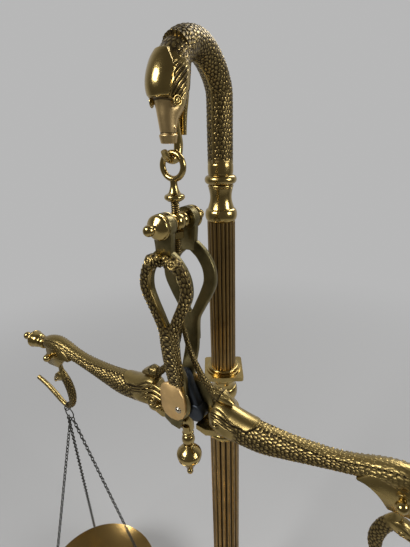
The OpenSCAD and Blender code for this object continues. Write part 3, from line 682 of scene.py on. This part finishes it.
class SCALE_OT_eye(bpy.types.Operator):
    """Eye bolt with its baluster and thread"""

    bl_idname = "scale.eye"
    bl_label = "Build the eye bolt"

    def execute(self, context):
        low, high = span("eye_bolt")
        ring, wire = 9.2, 2.3
        eye = high - ring - wire
        top, start = eye - ring, SPINDLE[2] + 15
        baluster = profile([[3.4, start], [5.6, start + 1]], bead(start + 1.5, start + 6, 5.6, 2.2),
                           [[4.6, start + 7]], cove(start + 7, top - 1, 4.4, 2.8, 0.7), [[2.6, top]])
        # The thread is a saw wave in the radius that climbs by one pitch a turn
        pitch, core, depth = 1.6, 2.75, 0.65
        z = np.linspace(low, start + 0.4, 760)[:, None]
        v = angles(36)[None]
        tooth = 1 - np.abs(2 * ((z / pitch - v / TAU) % 1) - 1)
        r = core + depth * tooth
        thread = np.stack([r * np.cos(v), r * np.sin(v) - REACH, z + 0 * v], -1)
        skins = [torus((0, -REACH, eye), AXIS_Y, ring, wire, 64, 24), lathe(baluster, (0, -REACH, 0), n=64),
                 skin(thread, (tooth - 1) * 0.8)]
        piece("threaded_eye", skins, "polished_brass", "eye", "eye_bolt")
        return {"FINISHED"}


class SCALE_OT_shears(bpy.types.Operator):
    """Spindle's barrel and caps, the serpents of the near cheek and the bottom finial"""

    bl_idname = "scale.shears"
    bl_label = "Build the suspension"

    def execute(self, context):
        w = 13.5
        barrel = profile([[7, -w], [7, -w + 1.2]], bead(-w + 1.6, -4.6, 5, 1.6), bead(-4.4, 4.4, 5.6, 2.2),
                         bead(4.6, w - 1.6, 5, 1.6), [[7, w - 1.2], [7, w]])
        cap = profile([[9.2, 19], [9.6, 20.6]], cove(21, 27, 9, 3.4, -2.6), [[2.4, 27.8], [2.2, 28.6]],
                      bead(28.6, 36.4, 0.7, 3.6), [[0.3, 36.4]])
        for name, skins, finish, *nodes in (
            ("barrel", [lathe(barrel, SPINDLE, "y", 64)], "polished_brass", "cross_barrel"),
            ("near_cap", [lathe(cap, SPINDLE, "-y", 64)], "polished_brass", "front_cap"),
            ("far_cap", [lathe(cap, SPINDLE, "y", 64)], "polished_brass", "rear_cap"),
            ("drop_finial", self.drop(), "polished_brass", "bottom_finial"),
            ("near_lyre", self.lyre(-1), "olive_brass", "front_cheek"),
            ("far_lyre", self.lyre(1), "olive_brass", "rear_cheek"),
            ("knife_bearing", self.bearing(), "blued_steel", "bearing_plate"),
            ("near_serpents", self.serpents(context), "cast_brass"),
        ):
            piece(name, skins, finish, "suspension", *nodes)
        return {"FINISHED"}

    def drop(self):
        """Turned finial that hangs under the bearing, and the bracket that it is fixed to."""
        at = np.array([0, -REACH, span("bottom_finial")[1] - 14])
        turned = profile(bead(-62, -56, 0.8, 2.4), [[2.2, -55.8]], cove(-55.4, -43.4, 3.2, 9.6, 0.3),
                         [[10.6, -43]], bead(-42.8, -41.4, 10.4, 0.8),
                         [[11.4, -41], [12, -39], [12.2, -36.6], [11.6, -34.4]],
                         cove(-34, -27.4, 11.2, 4, -0.9), [[4.6, -26.8]], bead(-26.4, -24.4, 4.4, 0.9),
                         bead(-24, -13, 3.4, 2.8), [[4.6, -12.6]], bead(-12.4, -9.4, 4.4, 1.2),
                         [[5, -9], [5, -2]])
        bracket = [[-5.4, -6], [5.4, -6], [5.4, 6], [4.6, 14], [-4.6, 14], [-5.4, 6]]
        return [lathe(turned, at), slab(bracket, -3.2, 3.2, 0.5, at - (0, 0, 0.4))]

    def lyre(self, side):
        """A flat cheek: stem, two bowed arms, neck and a boss round the spindle."""
        y, inner = side * 15.6, side * 6.2
        widen, thicken = (1.07, 0.5) if side > 0 else (1, -0.8)
        bow = [(3, 60, 3.4), (3.6, 80, 3.8), (8, 91.6, 4.2), (14.6, 105.4, 4.8), (18.6, 117, 5.2),
               (17.6, 129, 5.2), (12, 139.4, 5), (5, 146, 4.8)]
        bow = [[x * widen, y, z, 2.6, half + thicken] for x, z, half in bow]
        arm = [skin(swept(bow, KNIFE, AXIS_Y, 90, 40, 0.35)[0])]
        stem = [[0, inner, 8, 2.4, 6.4], [0, inner + side * 0.8, 32, 2.4, 6.6],
                [0, y - side * 1.6, 52, 2.5, 6.8], [0, y, 76, 2.6, 7.2], [0, y, 86, 2.6, 5.4]]
        neck = [[-7, 142], [7, 142], [7.6, 152], [8.4, 160], [8.4, 172], [-8.4, 172], [-8.4, 160],
                [-7.6, 152]]
        boss = profile([[9.6, -4]], bead(-3.8, 3.8, 9.2, 0.5), [[9.6, 4]])
        return [*arm, *mirrored(arm), skin(swept(stem, KNIFE, AXIS_Y, 40, 40, 0.35)[0]),
                slab(neck, y - 2.7, y + 2.7, 0.5, KNIFE), lathe(boss, SPINDLE + (0, y, 0), "y", 56)]

    def bearing(self):
        """Dark steel bar that leans across the knife edge and ends in a bored boss."""
        bar = [[-1, 35, 4.2, 3], [0.6, 30, 4.6, 5.4], [3.4, 19, 4.6, 6.2], [8, 6, 4.6, 6.8], [11, -3, 4.6, 7]]
        ring = [[4.6, -5.6], [7.6, -5.8], [8.6, -5], [8.8, 0], [8.6, 5], [7.6, 5.8], [4.6, 5.6]]
        plug = [[4.7, -4.4], [4.7, 4.4]]
        seat = [[-9, -8], [9, -8], [10, 0], [8, 12], [2, 20], [-3, 20], [-8, 12], [-10, 0]]
        at = KNIFE + (12, 0, -4)
        return [skin(swept(bar, KNIFE, AXIS_Y, 50, 40, 0.45)[0]), lathe(ring, at, "y", 48),
                lathe(plug, at, "y", 32), slab(seat, -4.4, 4.4, 0.7, KNIFE)]

    def serpents(self, context):
        """Two scaled serpents up the arms of the near cheek, whose heads meet under the spindle."""
        size = context.scene.scale_size
        at = KNIFE - (0, 18.6, 0)
        body = [[3.8, 5, 33, 3.2, 4], [4, 1.6, 56, 3.2, 4.2], [4.2, 0, 78, 3.2, 4.2],
                [8.4, 0, 91.6, 3.2, 4.2], [15, 0, 105.4, 3.3, 4.4], [19.2, 0, 116, 3.4, 4.6],
                [18.8, 0, 126, 3.4, 4.6], [15.4, 0, 134.6, 3.4, 4.6], [11.4, 0, 138.4, 3.4, 4.6]]
        points, out, length, v = swept(body, at, AXIS_Y, 330, 88, 0.85)
        band = window(np.degrees(v), 225, 240, 300, 318)
        relief = np.where(band > 0.5, 0.75, scale_relief(length, v, 9, size.scale_step * 1.1))
        right = [skin(grown(points, out, (relief - 0.6) * 1.5), (relief - 1) * (1 - band))]
        head = [[13.6, 0, 136.6, 4, 4.6], [10.6, -0.8, 140.2, 5.2, 6], [6, -1, 141, 4.4, 4.6],
                [1.2, -0.8, 139.2, 2.8, 2.8]]
        points, out, length, v = swept(head, at, AXIS_Y, 70, 60, 0.9)
        rough = 0.5 + 0.5 * np.sin(length * 2.4) * np.cos(5 * v)
        mouth = bump(apart(v, 180), 22, 7) * smooth(length, 6, 9)
        grid = grown(points, out, 0.7 * (rough - 0.5) - 1.1 * mouth)
        right.append(skin(grid, np.clip((rough - 1) * 0.7 - mouth, -1, 0)))
        eye = at + (11, -5, 141.6)
        right += [ball(eye, (1.6, 1.4, 1.6), 16), ball(at + (6.24, -4.32, 142.96), (1.6, 1.4, 1.6), 16),
                  torus(eye, (0.1, -1, 0.4), 2.9, 0.8, 24, 8),
                  ball(at + (3, -1.6, 145.2), ((3, 0, 0.6), (0, 3, 0), (0, 0, 1.8)), 16)]
        stem = [[0, 5.4, 28, 3.6, 7], [0, 1.8, 54, 3.8, 8], [0, -0.2, 76, 3.6, 8.2], [0, 0, 86, 2.8, 6]]
        points, out, length, v = swept(stem, at, AXIS_Y, 150, 96, 0.6)
        leaf = scale_relief(length, v, 14, 3)
        return [skin(grown(points, out, 1.1 * (leaf - 0.7)), leaf - 1), *right, *mirrored(right)]


class SCALE_OT_beam(bpy.types.Operator):
    """The two dolphin arms of the beam with their end blocks and finials"""

    bl_idname = "scale.beam"
    bl_label = "Build the beam"

    def execute(self, context):
        self.pair("dolphin", self.arm(context), "cast_brass", "arm")
        self.pair("plates", self.snout_plate(), "matt_brass")
        backing = self.backing()
        piece("backing_plates", backing + turned_round(backing), "olive_brass", "beam")
        self.pair("temple", self.temple(), "cast_brass")
        axle = lathe([[3, -12.8], [3, 12.8]], KNIFE, "y", 32)
        piece("centre_axle", [axle], "blued_steel", "beam", "centre_knife")
        head = KNIFE + (0, 12.9, 0)
        rivet = [ball(head, (2.9, 1.9, 2.9), 24), torus(head, AXIS_Y, 3.1, 0.35, 32, 8)]
        piece("rivets", rivet + turned_round(rivet), "rivet_brass", "beam")
        tip = profile([[2.4, -4.6], [2.4, 0.06], [5, 0.06]], bead(0.2, 6, 5, 2.4), [[4.4, 7]],
                      bead(6.4, 10, 6.4, 1), [[7.6, 11], [8.6, 14], [9.4, 20]], bead(20, 22, 9.2, 0.9),
                      cove(22.4, 30, 8.6, 2.4, -1.6), [[2, 31.6]], bead(31.6, 40, 0.8, 3.8))
        self.pair("tip", [lathe(tip, KNIFE + (199, 0, 5), "x", 64)], "polished_brass", "end_finial")
        return {"FINISHED"}

    def pair(self, name, skins, finish, node=None):
        """The right piece and its left twin, each standing for its side's node where one is named."""
        for side, own in both_sides(skins):
            nodes = [f"{side}_{node}"] if node else []
            piece(f"{side}_{name}", own, finish, "beam", *nodes)

    def arm(self, context):
        """Right arm: a scaled sweep with a crest, brows and cheeks, then eyes, end block and jaw.

        t is the place among the rows and d the angle from the top in degrees.
        """
        size = context.scene.scale_size
        rows = [[30, -1, 9.2, 13.7], [37, -1.05, 11.7, 16.3], [48, -3.1, 12.3, 14.7],
                [62, -5.05, 12.1, 13.3], [78, -5.6, 11.7, 12.5], [96, -4.2, 10.1, 10.3],
                [116, -1.8, 8.5, 8.3], [134, 1, 7.5, 7.2], [150, 4.6, 7.5, 7.5], [164, 7.6, 8.5, 9.1],
                [178, 9.2, 9.1, 10.1], [190, 8.2, 8.3, 8.7], [199, 6.8, 5.3, 5.3]]
        points, out, length, v = swept(rows, KNIFE, AXIS_Y, 460, 190)
        t = np.linspace(0, 12, 460)[:, None]
        d = apart(v, 270)
        scales = scale_relief(length, v, 20, size.scale_step)
        band = 20 + 26 * smooth(t, 4, 7.5)
        on_band = smooth(band - d, -1, 3) * smooth(t, 3.5, 3.9)
        ridge = bump(d, band, 3.4) * window(t, 3.5, 4.2, 11.3, 11.8)
        dash = smooth(np.sin(length * TAU / 3.6), -0.7, 0.2)
        crest = 50 - 12 * smooth(2.4 - t, 0, 1.4) + 3 * bump(t, 3.2, 0.3)
        crest = crest * np.sqrt(np.clip((3.72 - t) / 0.55, 0, 1))
        shield = smooth(crest - d, 0, 4) * smooth(t, 0.2, 0.6)
        rim = bump(d, crest, 2.6) * window(t, 0.6, 1.4, 3.6, 3.72)
        face = 1 - smooth(t, 2.3, 2.75)
        groove = 0.5 + 0.5 * np.cos(TAU * (d - 57 - 2 * t) / 9)
        brows = window(d, 50, 54, 80, 84) * face * smooth(t, 0.15, 0.5)
        socket = bump(t, 1.05, 0.32) * bump(d, 90, 9)
        cheek = bump(t, 1.8, 0.6) * bump(d, 112, 12)
        scaly = (1 - face) * (1 - shield) * (1 - 0.55 * on_band) * (1 - smooth(t, 11.2, 11.7))
        scaly = scaly * (0.55 + 0.45 * smooth(9.5 - t, 0, 3))
        height = (scales - 0.8) * size.scale_depth * 2 * scaly + 1.3 * shield + 0.5 * rim
        height += 0.9 * groove * brows + 0.8 * ridge * dash + 0.35 * on_band - 1.3 * socket + cheek
        # Painted shade: a dark strip along the foot of the crest's edge, under the raised shield
        painted_crest_shadow = bump(d, crest + 3.5, 2) * (t < 3.75) * (t > 0.8)
        shade = (scales - 1) * scaly - 0.8 * (1 - groove) * brows - 0.8 * painted_crest_shadow
        shade -= 0.7 * socket + 0.9 * ridge * (1 - dash)
        grid = grown(points, out, height)
        # The end edge lies in a slot between the two halves of the end block
        roof = KNIFE[2] + 6
        x, y, z = np.moveaxis(grid, -1, 0)
        slot = (np.abs(y + REACH) < 3.6) & (np.abs(x - ARM_L) < 11) & (z < roof)
        grid[..., 2] = np.where(slot, roof, z)
        jaw = [[14, -19], [24, -22.5], [33, -19], [42, -15], [42, -11], [33, -12.5], [24, -15.5], [14, -14.5]]
        spur = profile([[3, -2]], bead(-1.6, 1.6, 2.6, 0.9), [[1.2, 2.2]])
        return [skin(grid, np.clip(shade, -1, 0)), *self.side_parts(-1), *self.side_parts(1),
                lathe(spur, KNIFE + (151.5, 0, -2.2), "x", 24), slab(jaw, -7.04, 7.04, 0.6, KNIFE, 0.96)]

    def side_parts(self, s):
        """Eye with its lid, cheek of the end block and button over the end edge, on one side."""
        eye = KNIFE + (37.5, s * 11.3, 1.2)
        arc = np.radians(np.linspace(-70, 60, 9))
        u = np.linspace(0, 1, 9)
        outline = profile(np.stack([150 + 22 * u, -0.5 - 15.5 * u * u], 1),
                          np.stack([ARM_L + 6 + 8 * np.cos(arc), -8.6 + 8 * np.sin(arc)], 1),
                          [[ARM_L + 10, 8], [ARM_L - 4, 12], [158, 8]])
        return [ball(eye, (2.4, 1.6, 1.9), 20), torus(eye + (0, s * 0.6, 0), (0, s, 0.15), 3.2, 0.6, 32, 8),
                slab(outline, *sorted((s * 3.6, s * 8.5)), 0.9, KNIFE),
                ball(KNIFE + (ARM_L, s * 8.6, -1.6), (4.2, 0.9, 4.2), 24)]

    def snout_plate(self):
        """The flat snout plate of the right arm on its far side."""
        outline = [[20, 8], [19.6, 16], [16.6, 22], [11, 25.2], [4, 25.2], [-1.6, 21], [-5.2, 14.4], [-7, 6],
                   [-7, -2.4], [-3.6, -9], [1.6, -13], [9, -13.4], [15.6, -10], [18.8, -3]]
        return [slab(outline, 9, 12.9, 0.8, KNIFE)]

    def backing(self):
        """The oval plate between the snout plate and the knife's bearing, and the lip under it."""
        u = angles(40)
        oval = np.stack([7.4 + 17.6 * np.cos(u), 3.4 + 19 * np.sin(u)], 1)
        lip = [[19.6, -9], [19.4, -19], [12, -24.6], [3, -26], [0.4, -21], [-1.4, -12], [6, -15.4], [13, -14]]
        return [slab(oval, 6.1, 8.8, 0.7, KNIFE), slab(lip, 6.2, 9.4, 0.9, KNIFE)]

    def temple(self):
        """Side of the head between the plate and the scales: three brows, an eye and a cheek."""
        f = np.linspace(0, 1, 6)
        skins = []
        for lift, wire in ((13, 1.7), (8.4, 1.9), (3.8, 1.8)):
            h = lift - 6 * f + 4.6 * np.sin(math.pi * f)
            rows = [20 + 24 * f, 12.2 - 0.012 * h * h, h - 1.6, wire * 0.8 + 0 * f, wire - 0.9 * f]
            skins.append(skin(swept(np.stack(rows, 1), KNIFE, AXIS_Y, 48, 18)[0]))
        skins += lidded_eye(KNIFE + (31, 12, -3.4), (3.4, 2, 2.4), (0, 1, 0.2), 4.2, 0.9, 20, 32, 10)
        skins.append(ball(KNIFE + (30, 9.2, -11.4), ((7.4, 0, -1.6), (0, 3, 0), (0.8, 0, 3.8)), 24))
        return skins


class SCALE_OT_pointer(bpy.types.Operator):
    """Needle of two small serpents that rise from the brows and join"""

    bl_idname = "scale.pointer"
    bl_label = "Build the needle"

    def execute(self, context):
        rows = [[34, 14.8, 3.4, 3.2], [29.4, 22, 3.6, 3.6], [20, 32, 2.9, 3.1], [13, 44, 2.5, 2.7],
                [6.6, 58, 2.3, 2.4], [2, 76, 2, 2.2], [0.4, 92, 1.6, 1.6], [0, 106, 0.7, 0.7]]
        points, out, length, v = swept(rows, KNIFE, AXIS_Y, 220, 60)
        scales = scale_relief(length, v, 8, 2.4)
        fade = 1 - smooth(length, 60, 90)
        skins = [skin(grown(points, out, 0.6 * (scales - 0.7) * fade), (scales - 1) * (0.3 + 0.7 * fade))]
        head = [[30, 23, 3.8, 3.8], [36, 22, 5.2, 5], [43, 19.2, 4.4, 3.9], [49, 16.2, 2.2, 1.9]]
        points, out, length, v = swept(head, KNIFE, AXIS_Y, 80, 60, 0.9)
        d, u = apart(v, 270), length / length[-1]
        brow = bump(d, 48, 10) * bump(u, 0.42, 0.16)
        mouth = bump(d, 118, 7) * smooth(u, 0.45, 0.6)
        rough = scale_relief(length, v, 9, 2.4) * (1 - smooth(u, 0.25, 0.45))
        shade = np.clip(-0.9 * mouth + 0.7 * (rough - 1) * (u < 0.4), -1, 0)
        skins.append(skin(grown(points, out, 1.1 * brow - 0.9 * mouth + 0.5 * rough), shade))
        for s in (-1, 1):
            skins += lidded_eye(KNIFE + (38.6, s * 3.9, 23.6), (1.3, 1, 1.2), (0.2, s, 0.5), 1.9, 0.45)
        piece("serpent_needle", skins + mirrored(skins), "cast_brass", "beam", "needle")
        return {"FINISHED"}


class SCALE_OT_hooks(bpy.types.Operator):
    """Hooks with beasts' heads that hang from the end edges"""

    bl_idname = "scale.hooks"
    bl_label = "Build the hooks"

    def execute(self, context):
        for side, skins in both_sides(self.hook()):
            piece(f"{side}_beast", skins, "cast_brass", f"{side}_hook", f"{side}_hook")
        return {"FINISHED"}

    def hook(self):
        """A curled scaled neck whose beaked head looks outwards and whose tail rises beyond it."""
        at = KNIFE + (ARM_L, 0, 0)
        rows = [[0, -11, 2.4, 2.8], [0, -24, 2.6, 3.2], [-3.5, -33, 4.2, 5.2], [-9.4, -44, 4.6, 5.4],
                [-12, -57, 4.4, 5.2], [-9.4, -70, 3.6, 4], [0, -77, 2.8, 2.9], [9.4, -74.6, 2.7, 3],
                [22, -66, 2.9, 3.4], [36, -58, 2.7, 3.3], [50, -53, 2.4, 3.2]]
        points, out, length, v = swept(rows, at, AXIS_Y, 300, 72)
        t = np.linspace(0, 10, 300)[:, None]
        scales = scale_relief(length, v, 10, 2.6)
        scaly = smooth(t, 1.8, 2.4) * (1 - 0.6 * smooth(t, 5.6, 6.4))
        skins = [skin(grown(points, out, 0.75 * (scales - 0.6) * scaly), (scales - 1) * scaly)]
        muzzle = [[-5, -32.6, 4, 4.6], [1, -34, 5, 6.2], [7, -37.6, 4.4, 5.2], [12.4, -42, 3, 3.4],
                  [15.6, -46.4, 1.4, 1.6]]
        points, out, length, v = swept(muzzle, at, AXIS_Y, 90, 60, 0.9)
        d, u = apart(v, 270), length / length[-1]
        brow = bump(d, 42, 10) * bump(u, 0.38, 0.15)
        beak = bump(d, 100, 6) * smooth(u, 0.5, 0.62)
        # The second term is painted shade under the brow; the first darkens the groove of the beak
        shade = np.clip(-0.9 * beak - 0.5 * bump(d, 62, 8) * bump(u, 0.4, 0.2), -1, 0)
        skins.append(skin(grown(points, out, 1.2 * brow - 0.8 * beak), shade))
        for s in (-1, 1):
            skins += lidded_eye(at + (3.4, s * 4.7, -35.4), (1.4, 1, 1.3), (0.1, s, 0.3), 2.1, 0.45)
        ear = [[-8, 3.4], [-4, 6.4], [1, 6.8], [5, 5], [2, 3], [-3, 1.6]]
        skins.append(slab(ear, -2.2, 2.2, 0.5, at + (-0.5, 0, -36.6)))
        skins.append(torus(at + (0, 0, -3.9), AXIS_Y, 5.9, 1.55, 48, 16))
        return skins


class SCALE_OT_pans(bpy.types.Operator):
    """Rings, chains and pans of both sides"""

    bl_idname = "scale.pans"
    bl_label = "Build the pans"

    def execute(self, context):
        for side, x in (("right", ARM_L), ("left", -ARM_L)):
            for part, normal in (("hook_ring", AXIS_X), ("chain_ring", AXIS_Y)):
                node = f"{side}_{part}"
                ring = torus(*self.ring_place(node, normal), RING_WIRE, 48, 12)
                piece(f"{node}_wire", [ring], "dark_iron", f"{side}_pan", node)
            # Each chain's place round the pan and round the gathering ring, in degrees
            for key, angle, lean in (("a", 23, 35), ("b", 143, -35), ("c", 263, 0)):
                self.chain(side, key, x, math.radians(angle), math.radians(lean))
            self.pan(side, x)
        return {"FINISHED"}

    def ring_place(self, node, normal):
        """Middle, normal and radius of a CAD ring, for torus."""
        low, high = np.array(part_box(node)) / MM
        return (low + high) / 2, normal, (high[2] - low[2]) / 2 - RING_WIRE

    def chain(self, side, key, x, angle, lean):
        """Oval links in a row from the gathering ring to a small ring through the pan's edge.

        A link is an ellipse of wire, and each one is turned by a quarter against the one before it.
        Their count lets the last one stand across the small ring.
        """
        middle, _, radius = self.ring_place(f"{side}_chain_ring", AXIS_Y)
        top = np.array([x, -REACH, middle[2]]) + radius * np.array([math.sin(lean), 0, -math.cos(lean)])
        tangent = np.array([-math.sin(angle), math.cos(angle), 0])
        outwards = np.array([math.cos(angle), math.sin(angle), 0])
        rim = np.array([x, -REACH, PAN_EDGE[1]]) + PAN_EDGE[0] * outwards
        direction = unit(rim - top)
        run = np.linalg.norm(rim - RIM_RING * direction - top)
        quarter = round(math.degrees(angle) / 90)
        rest = angle - quarter * math.pi / 2
        count = 2 * round(run / LINK_PITCH / 2) + (quarter + 1) % 2
        pitch = run / count
        across = unit(tangent - direction * tangent.dot(direction))
        other = np.cross(direction, across)
        u = angles(10)[:, None]
        w = angles(4)[:, None]
        skins = []
        for k in range(count):
            turn = math.pi / 2 * (k + quarter) + rest * (1 - k / (count - 1))
            e = across * math.cos(turn) + other * math.sin(turn)
            f = np.cross(direction, e)
            path = np.cos(u) * direction * (pitch / 2 + LINK_LAP) + np.sin(u) * e * LINK_HALF
            away = unit(np.cos(u) * direction + np.sin(u) * e)
            wire = LINK_WIRE * (np.cos(w) * away[:, None] + np.sin(w) * f)
            skins.append(skin(top + direction * pitch * (k + 0.5) + path[:, None] + wire, ring=True))
        skins.append(torus(rim, tangent, RIM_RING, RIM_WIRE, 28, 8))
        node = f"{side}_chain_{key}"
        piece(f"{node}_links", skins, "dark_iron", f"{side}_pan", node)

    def pan(self, side, x):
        """Spun dish: two arcs about one centre, the outer one up to the edge and the inner one back."""
        z = span(f"{side}_pan")[0]
        outer, inner = PAN_BALL, PAN_BALL - PAN_SHEET
        a = PAN_ANGLE * np.linspace(0.004, 1, 60)[:, None]
        up = np.concatenate([outer * np.sin(a), outer - outer * np.cos(a)], 1)
        down = np.concatenate([inner * np.sin(a[::-1]), outer - inner * np.cos(a[::-1])], 1)
        dish = lathe(profile(up, down), (x, -REACH, z), n=160)
        piece(f"{side}_dish", [dish], "pan_brass", f"{side}_pan", f"{side}_pan", sharp=40)


# Stage


def place_looking(obj, at, direction, roll):
    """Puts a lamp or camera at a place, looking along a direction, rolled by degrees."""
    back = -unit(direction)
    right = unit(np.cross(AXIS_Z, back))
    up = np.cross(back, right)
    c, s = math.cos(math.radians(roll)), math.sin(math.radians(roll))
    matrix = np.eye(4)
    matrix[:3] = np.stack([right * c + up * s, -right * s + up * c, back, at], 1)
    obj.matrix_world = Matrix(matrix.tolist())


class SCALE_OT_stage(bpy.types.Operator):
    """Floor, backdrop, lamps and camera"""

    bl_idname = "scale.stage"
    bl_label = "Set the stage"

    def execute(self, context):
        scene = context.scene
        scene.view_settings.view_transform = "Standard"
        self.backdrop(scene)
        self.lamps()
        self.camera(scene)
        return {"FINISHED"}

    def backdrop(self, scene):
        """A pale floor under the foot and a plain room, pale behind the scale and dim behind the camera."""
        pale = tuple(scene.scale_look.backdrop)
        mesh = bpy.data.meshes.new("floor")
        half, low = FLOOR_HALF, CAD_BOX[0][2] - FLOOR_GAP
        corners = [(-half, -half, low), (half, -half, low), (half, half, low), (-half, half, low)]
        mesh.from_pydata(corners, [], [(0, 1, 2, 3)])
        floor = new_object("floor", mesh)
        mesh.materials.append(self.paper(pale))
        scene.world = bpy.data.worlds.new("studio")
        scene.world.use_nodes = True
        tree = scene.world.node_tree
        way = output(tree, "TexCoord", "Generated", {})
        feed(tree, tree.nodes["Background"], {"Color": self.room(tree, way, pale)})

    def room(self, tree, way, pale):
        """Colour of the room in a direction: pale where the backdrop is, dim on the other side."""
        side = output(tree, "VectorMath", "Value", {0: way, 1: BACKDROP_WAY}, operation="DOT_PRODUCT")
        fade = ramp(tree, side, {"From Min": -0.1, "From Max": 0.78}, interpolation_type="SMOOTHSTEP")
        return mixed(tree, fade, ROOM_TONE, pale)

    def paper(self, pale):
        """Matt floor that keeps its shadows near the foot and fades into the room's colour."""
        mat, tree, place = new_tree("floor_paper")
        shader = tree.nodes["Principled BSDF"]
        feed(tree, shader, {"Base Color": (*pale, 1), "Roughness": 0.9, "Specular IOR Level": 0.1})
        away = output(tree, "VectorMath", "Value", {0: place}, operation="LENGTH")
        fade = ramp(tree, away, {"From Min": 0.35, "From Max": 1.6}, interpolation_type="SMOOTHSTEP")
        way = output(tree, "VectorMath", "Vector", {0: place}, operation="NORMALIZE")
        far = output(tree, "Emission", "Emission", {"Color": self.room(tree, way, pale)})
        mix = output(tree, "MixShader", "Shader", {"Fac": fade, 1: shader.outputs["BSDF"], 2: far})
        feed(tree, tree.nodes["Material Output"], {"Surface": mix})
        return mat

    def lamps(self):
        """Three soft boxes: high on the left, low on the right and high behind."""
        for name, at, watts, size in LAMPS:
            lamp = bpy.data.lights.new(name, "AREA")
            lamp.shape = "SQUARE"
            lamp.size = size
            lamp.energy = watts
            place_looking(new_object(name, lamp), at, np.array(LAMP_AIM) - at, 0.0)

    def camera(self, scene):
        """The photograph's camera: front right of the beam, above it, tipped down and slightly rolled."""
        data = bpy.data.cameras.new("camera")
        data.sensor_fit = "VERTICAL"
        data.sensor_height = 36.0
        data.lens = scene.scale_size.lens
        data.clip_start = 0.01
        scene.camera = new_object("camera", data)
        place_looking(scene.camera, np.array(CAMERA_AT) * MM, np.array(CAMERA_DIR), CAMERA_ROLL)


STEPS = [SCALE_OT_plain_nodes, SCALE_OT_column, SCALE_OT_crook, SCALE_OT_dolphin, SCALE_OT_eye,
         SCALE_OT_shears, SCALE_OT_beam, SCALE_OT_pointer, SCALE_OT_hooks, SCALE_OT_pans, SCALE_OT_stage]


class SCALE_PT_panel(bpy.types.Panel):
    """Lists the steps that build the scale"""

    bl_label = "Apothecary scale"
    bl_space_type = "VIEW_3D"
    bl_region_type = "UI"
    bl_category = "Scale"

    def draw(self, context):
        for group in (context.scene.scale_look, context.scene.scale_size):
            for key in group.__annotations__:
                self.layout.prop(group, key)
        for step in STEPS:
            self.layout.operator(step.bl_idname)


CLASSES = [ScaleLook, ScaleSize, *STEPS, SCALE_PT_panel]


def register():
    for cls in CLASSES:
        bpy.utils.register_class(cls)
    bpy.types.Scene.scale_look = bpy.props.PointerProperty(type=ScaleLook)
    bpy.types.Scene.scale_size = bpy.props.PointerProperty(type=ScaleSize)


def unregister():
    del bpy.types.Scene.scale_look
    del bpy.types.Scene.scale_size
    for cls in reversed(CLASSES):
        bpy.utils.unregister_class(cls)


def main():
    register()
    for step in STEPS:
        getattr(bpy.ops.scale, step.bl_idname.removeprefix("scale."))()


if __name__ == "__main__":
    main()
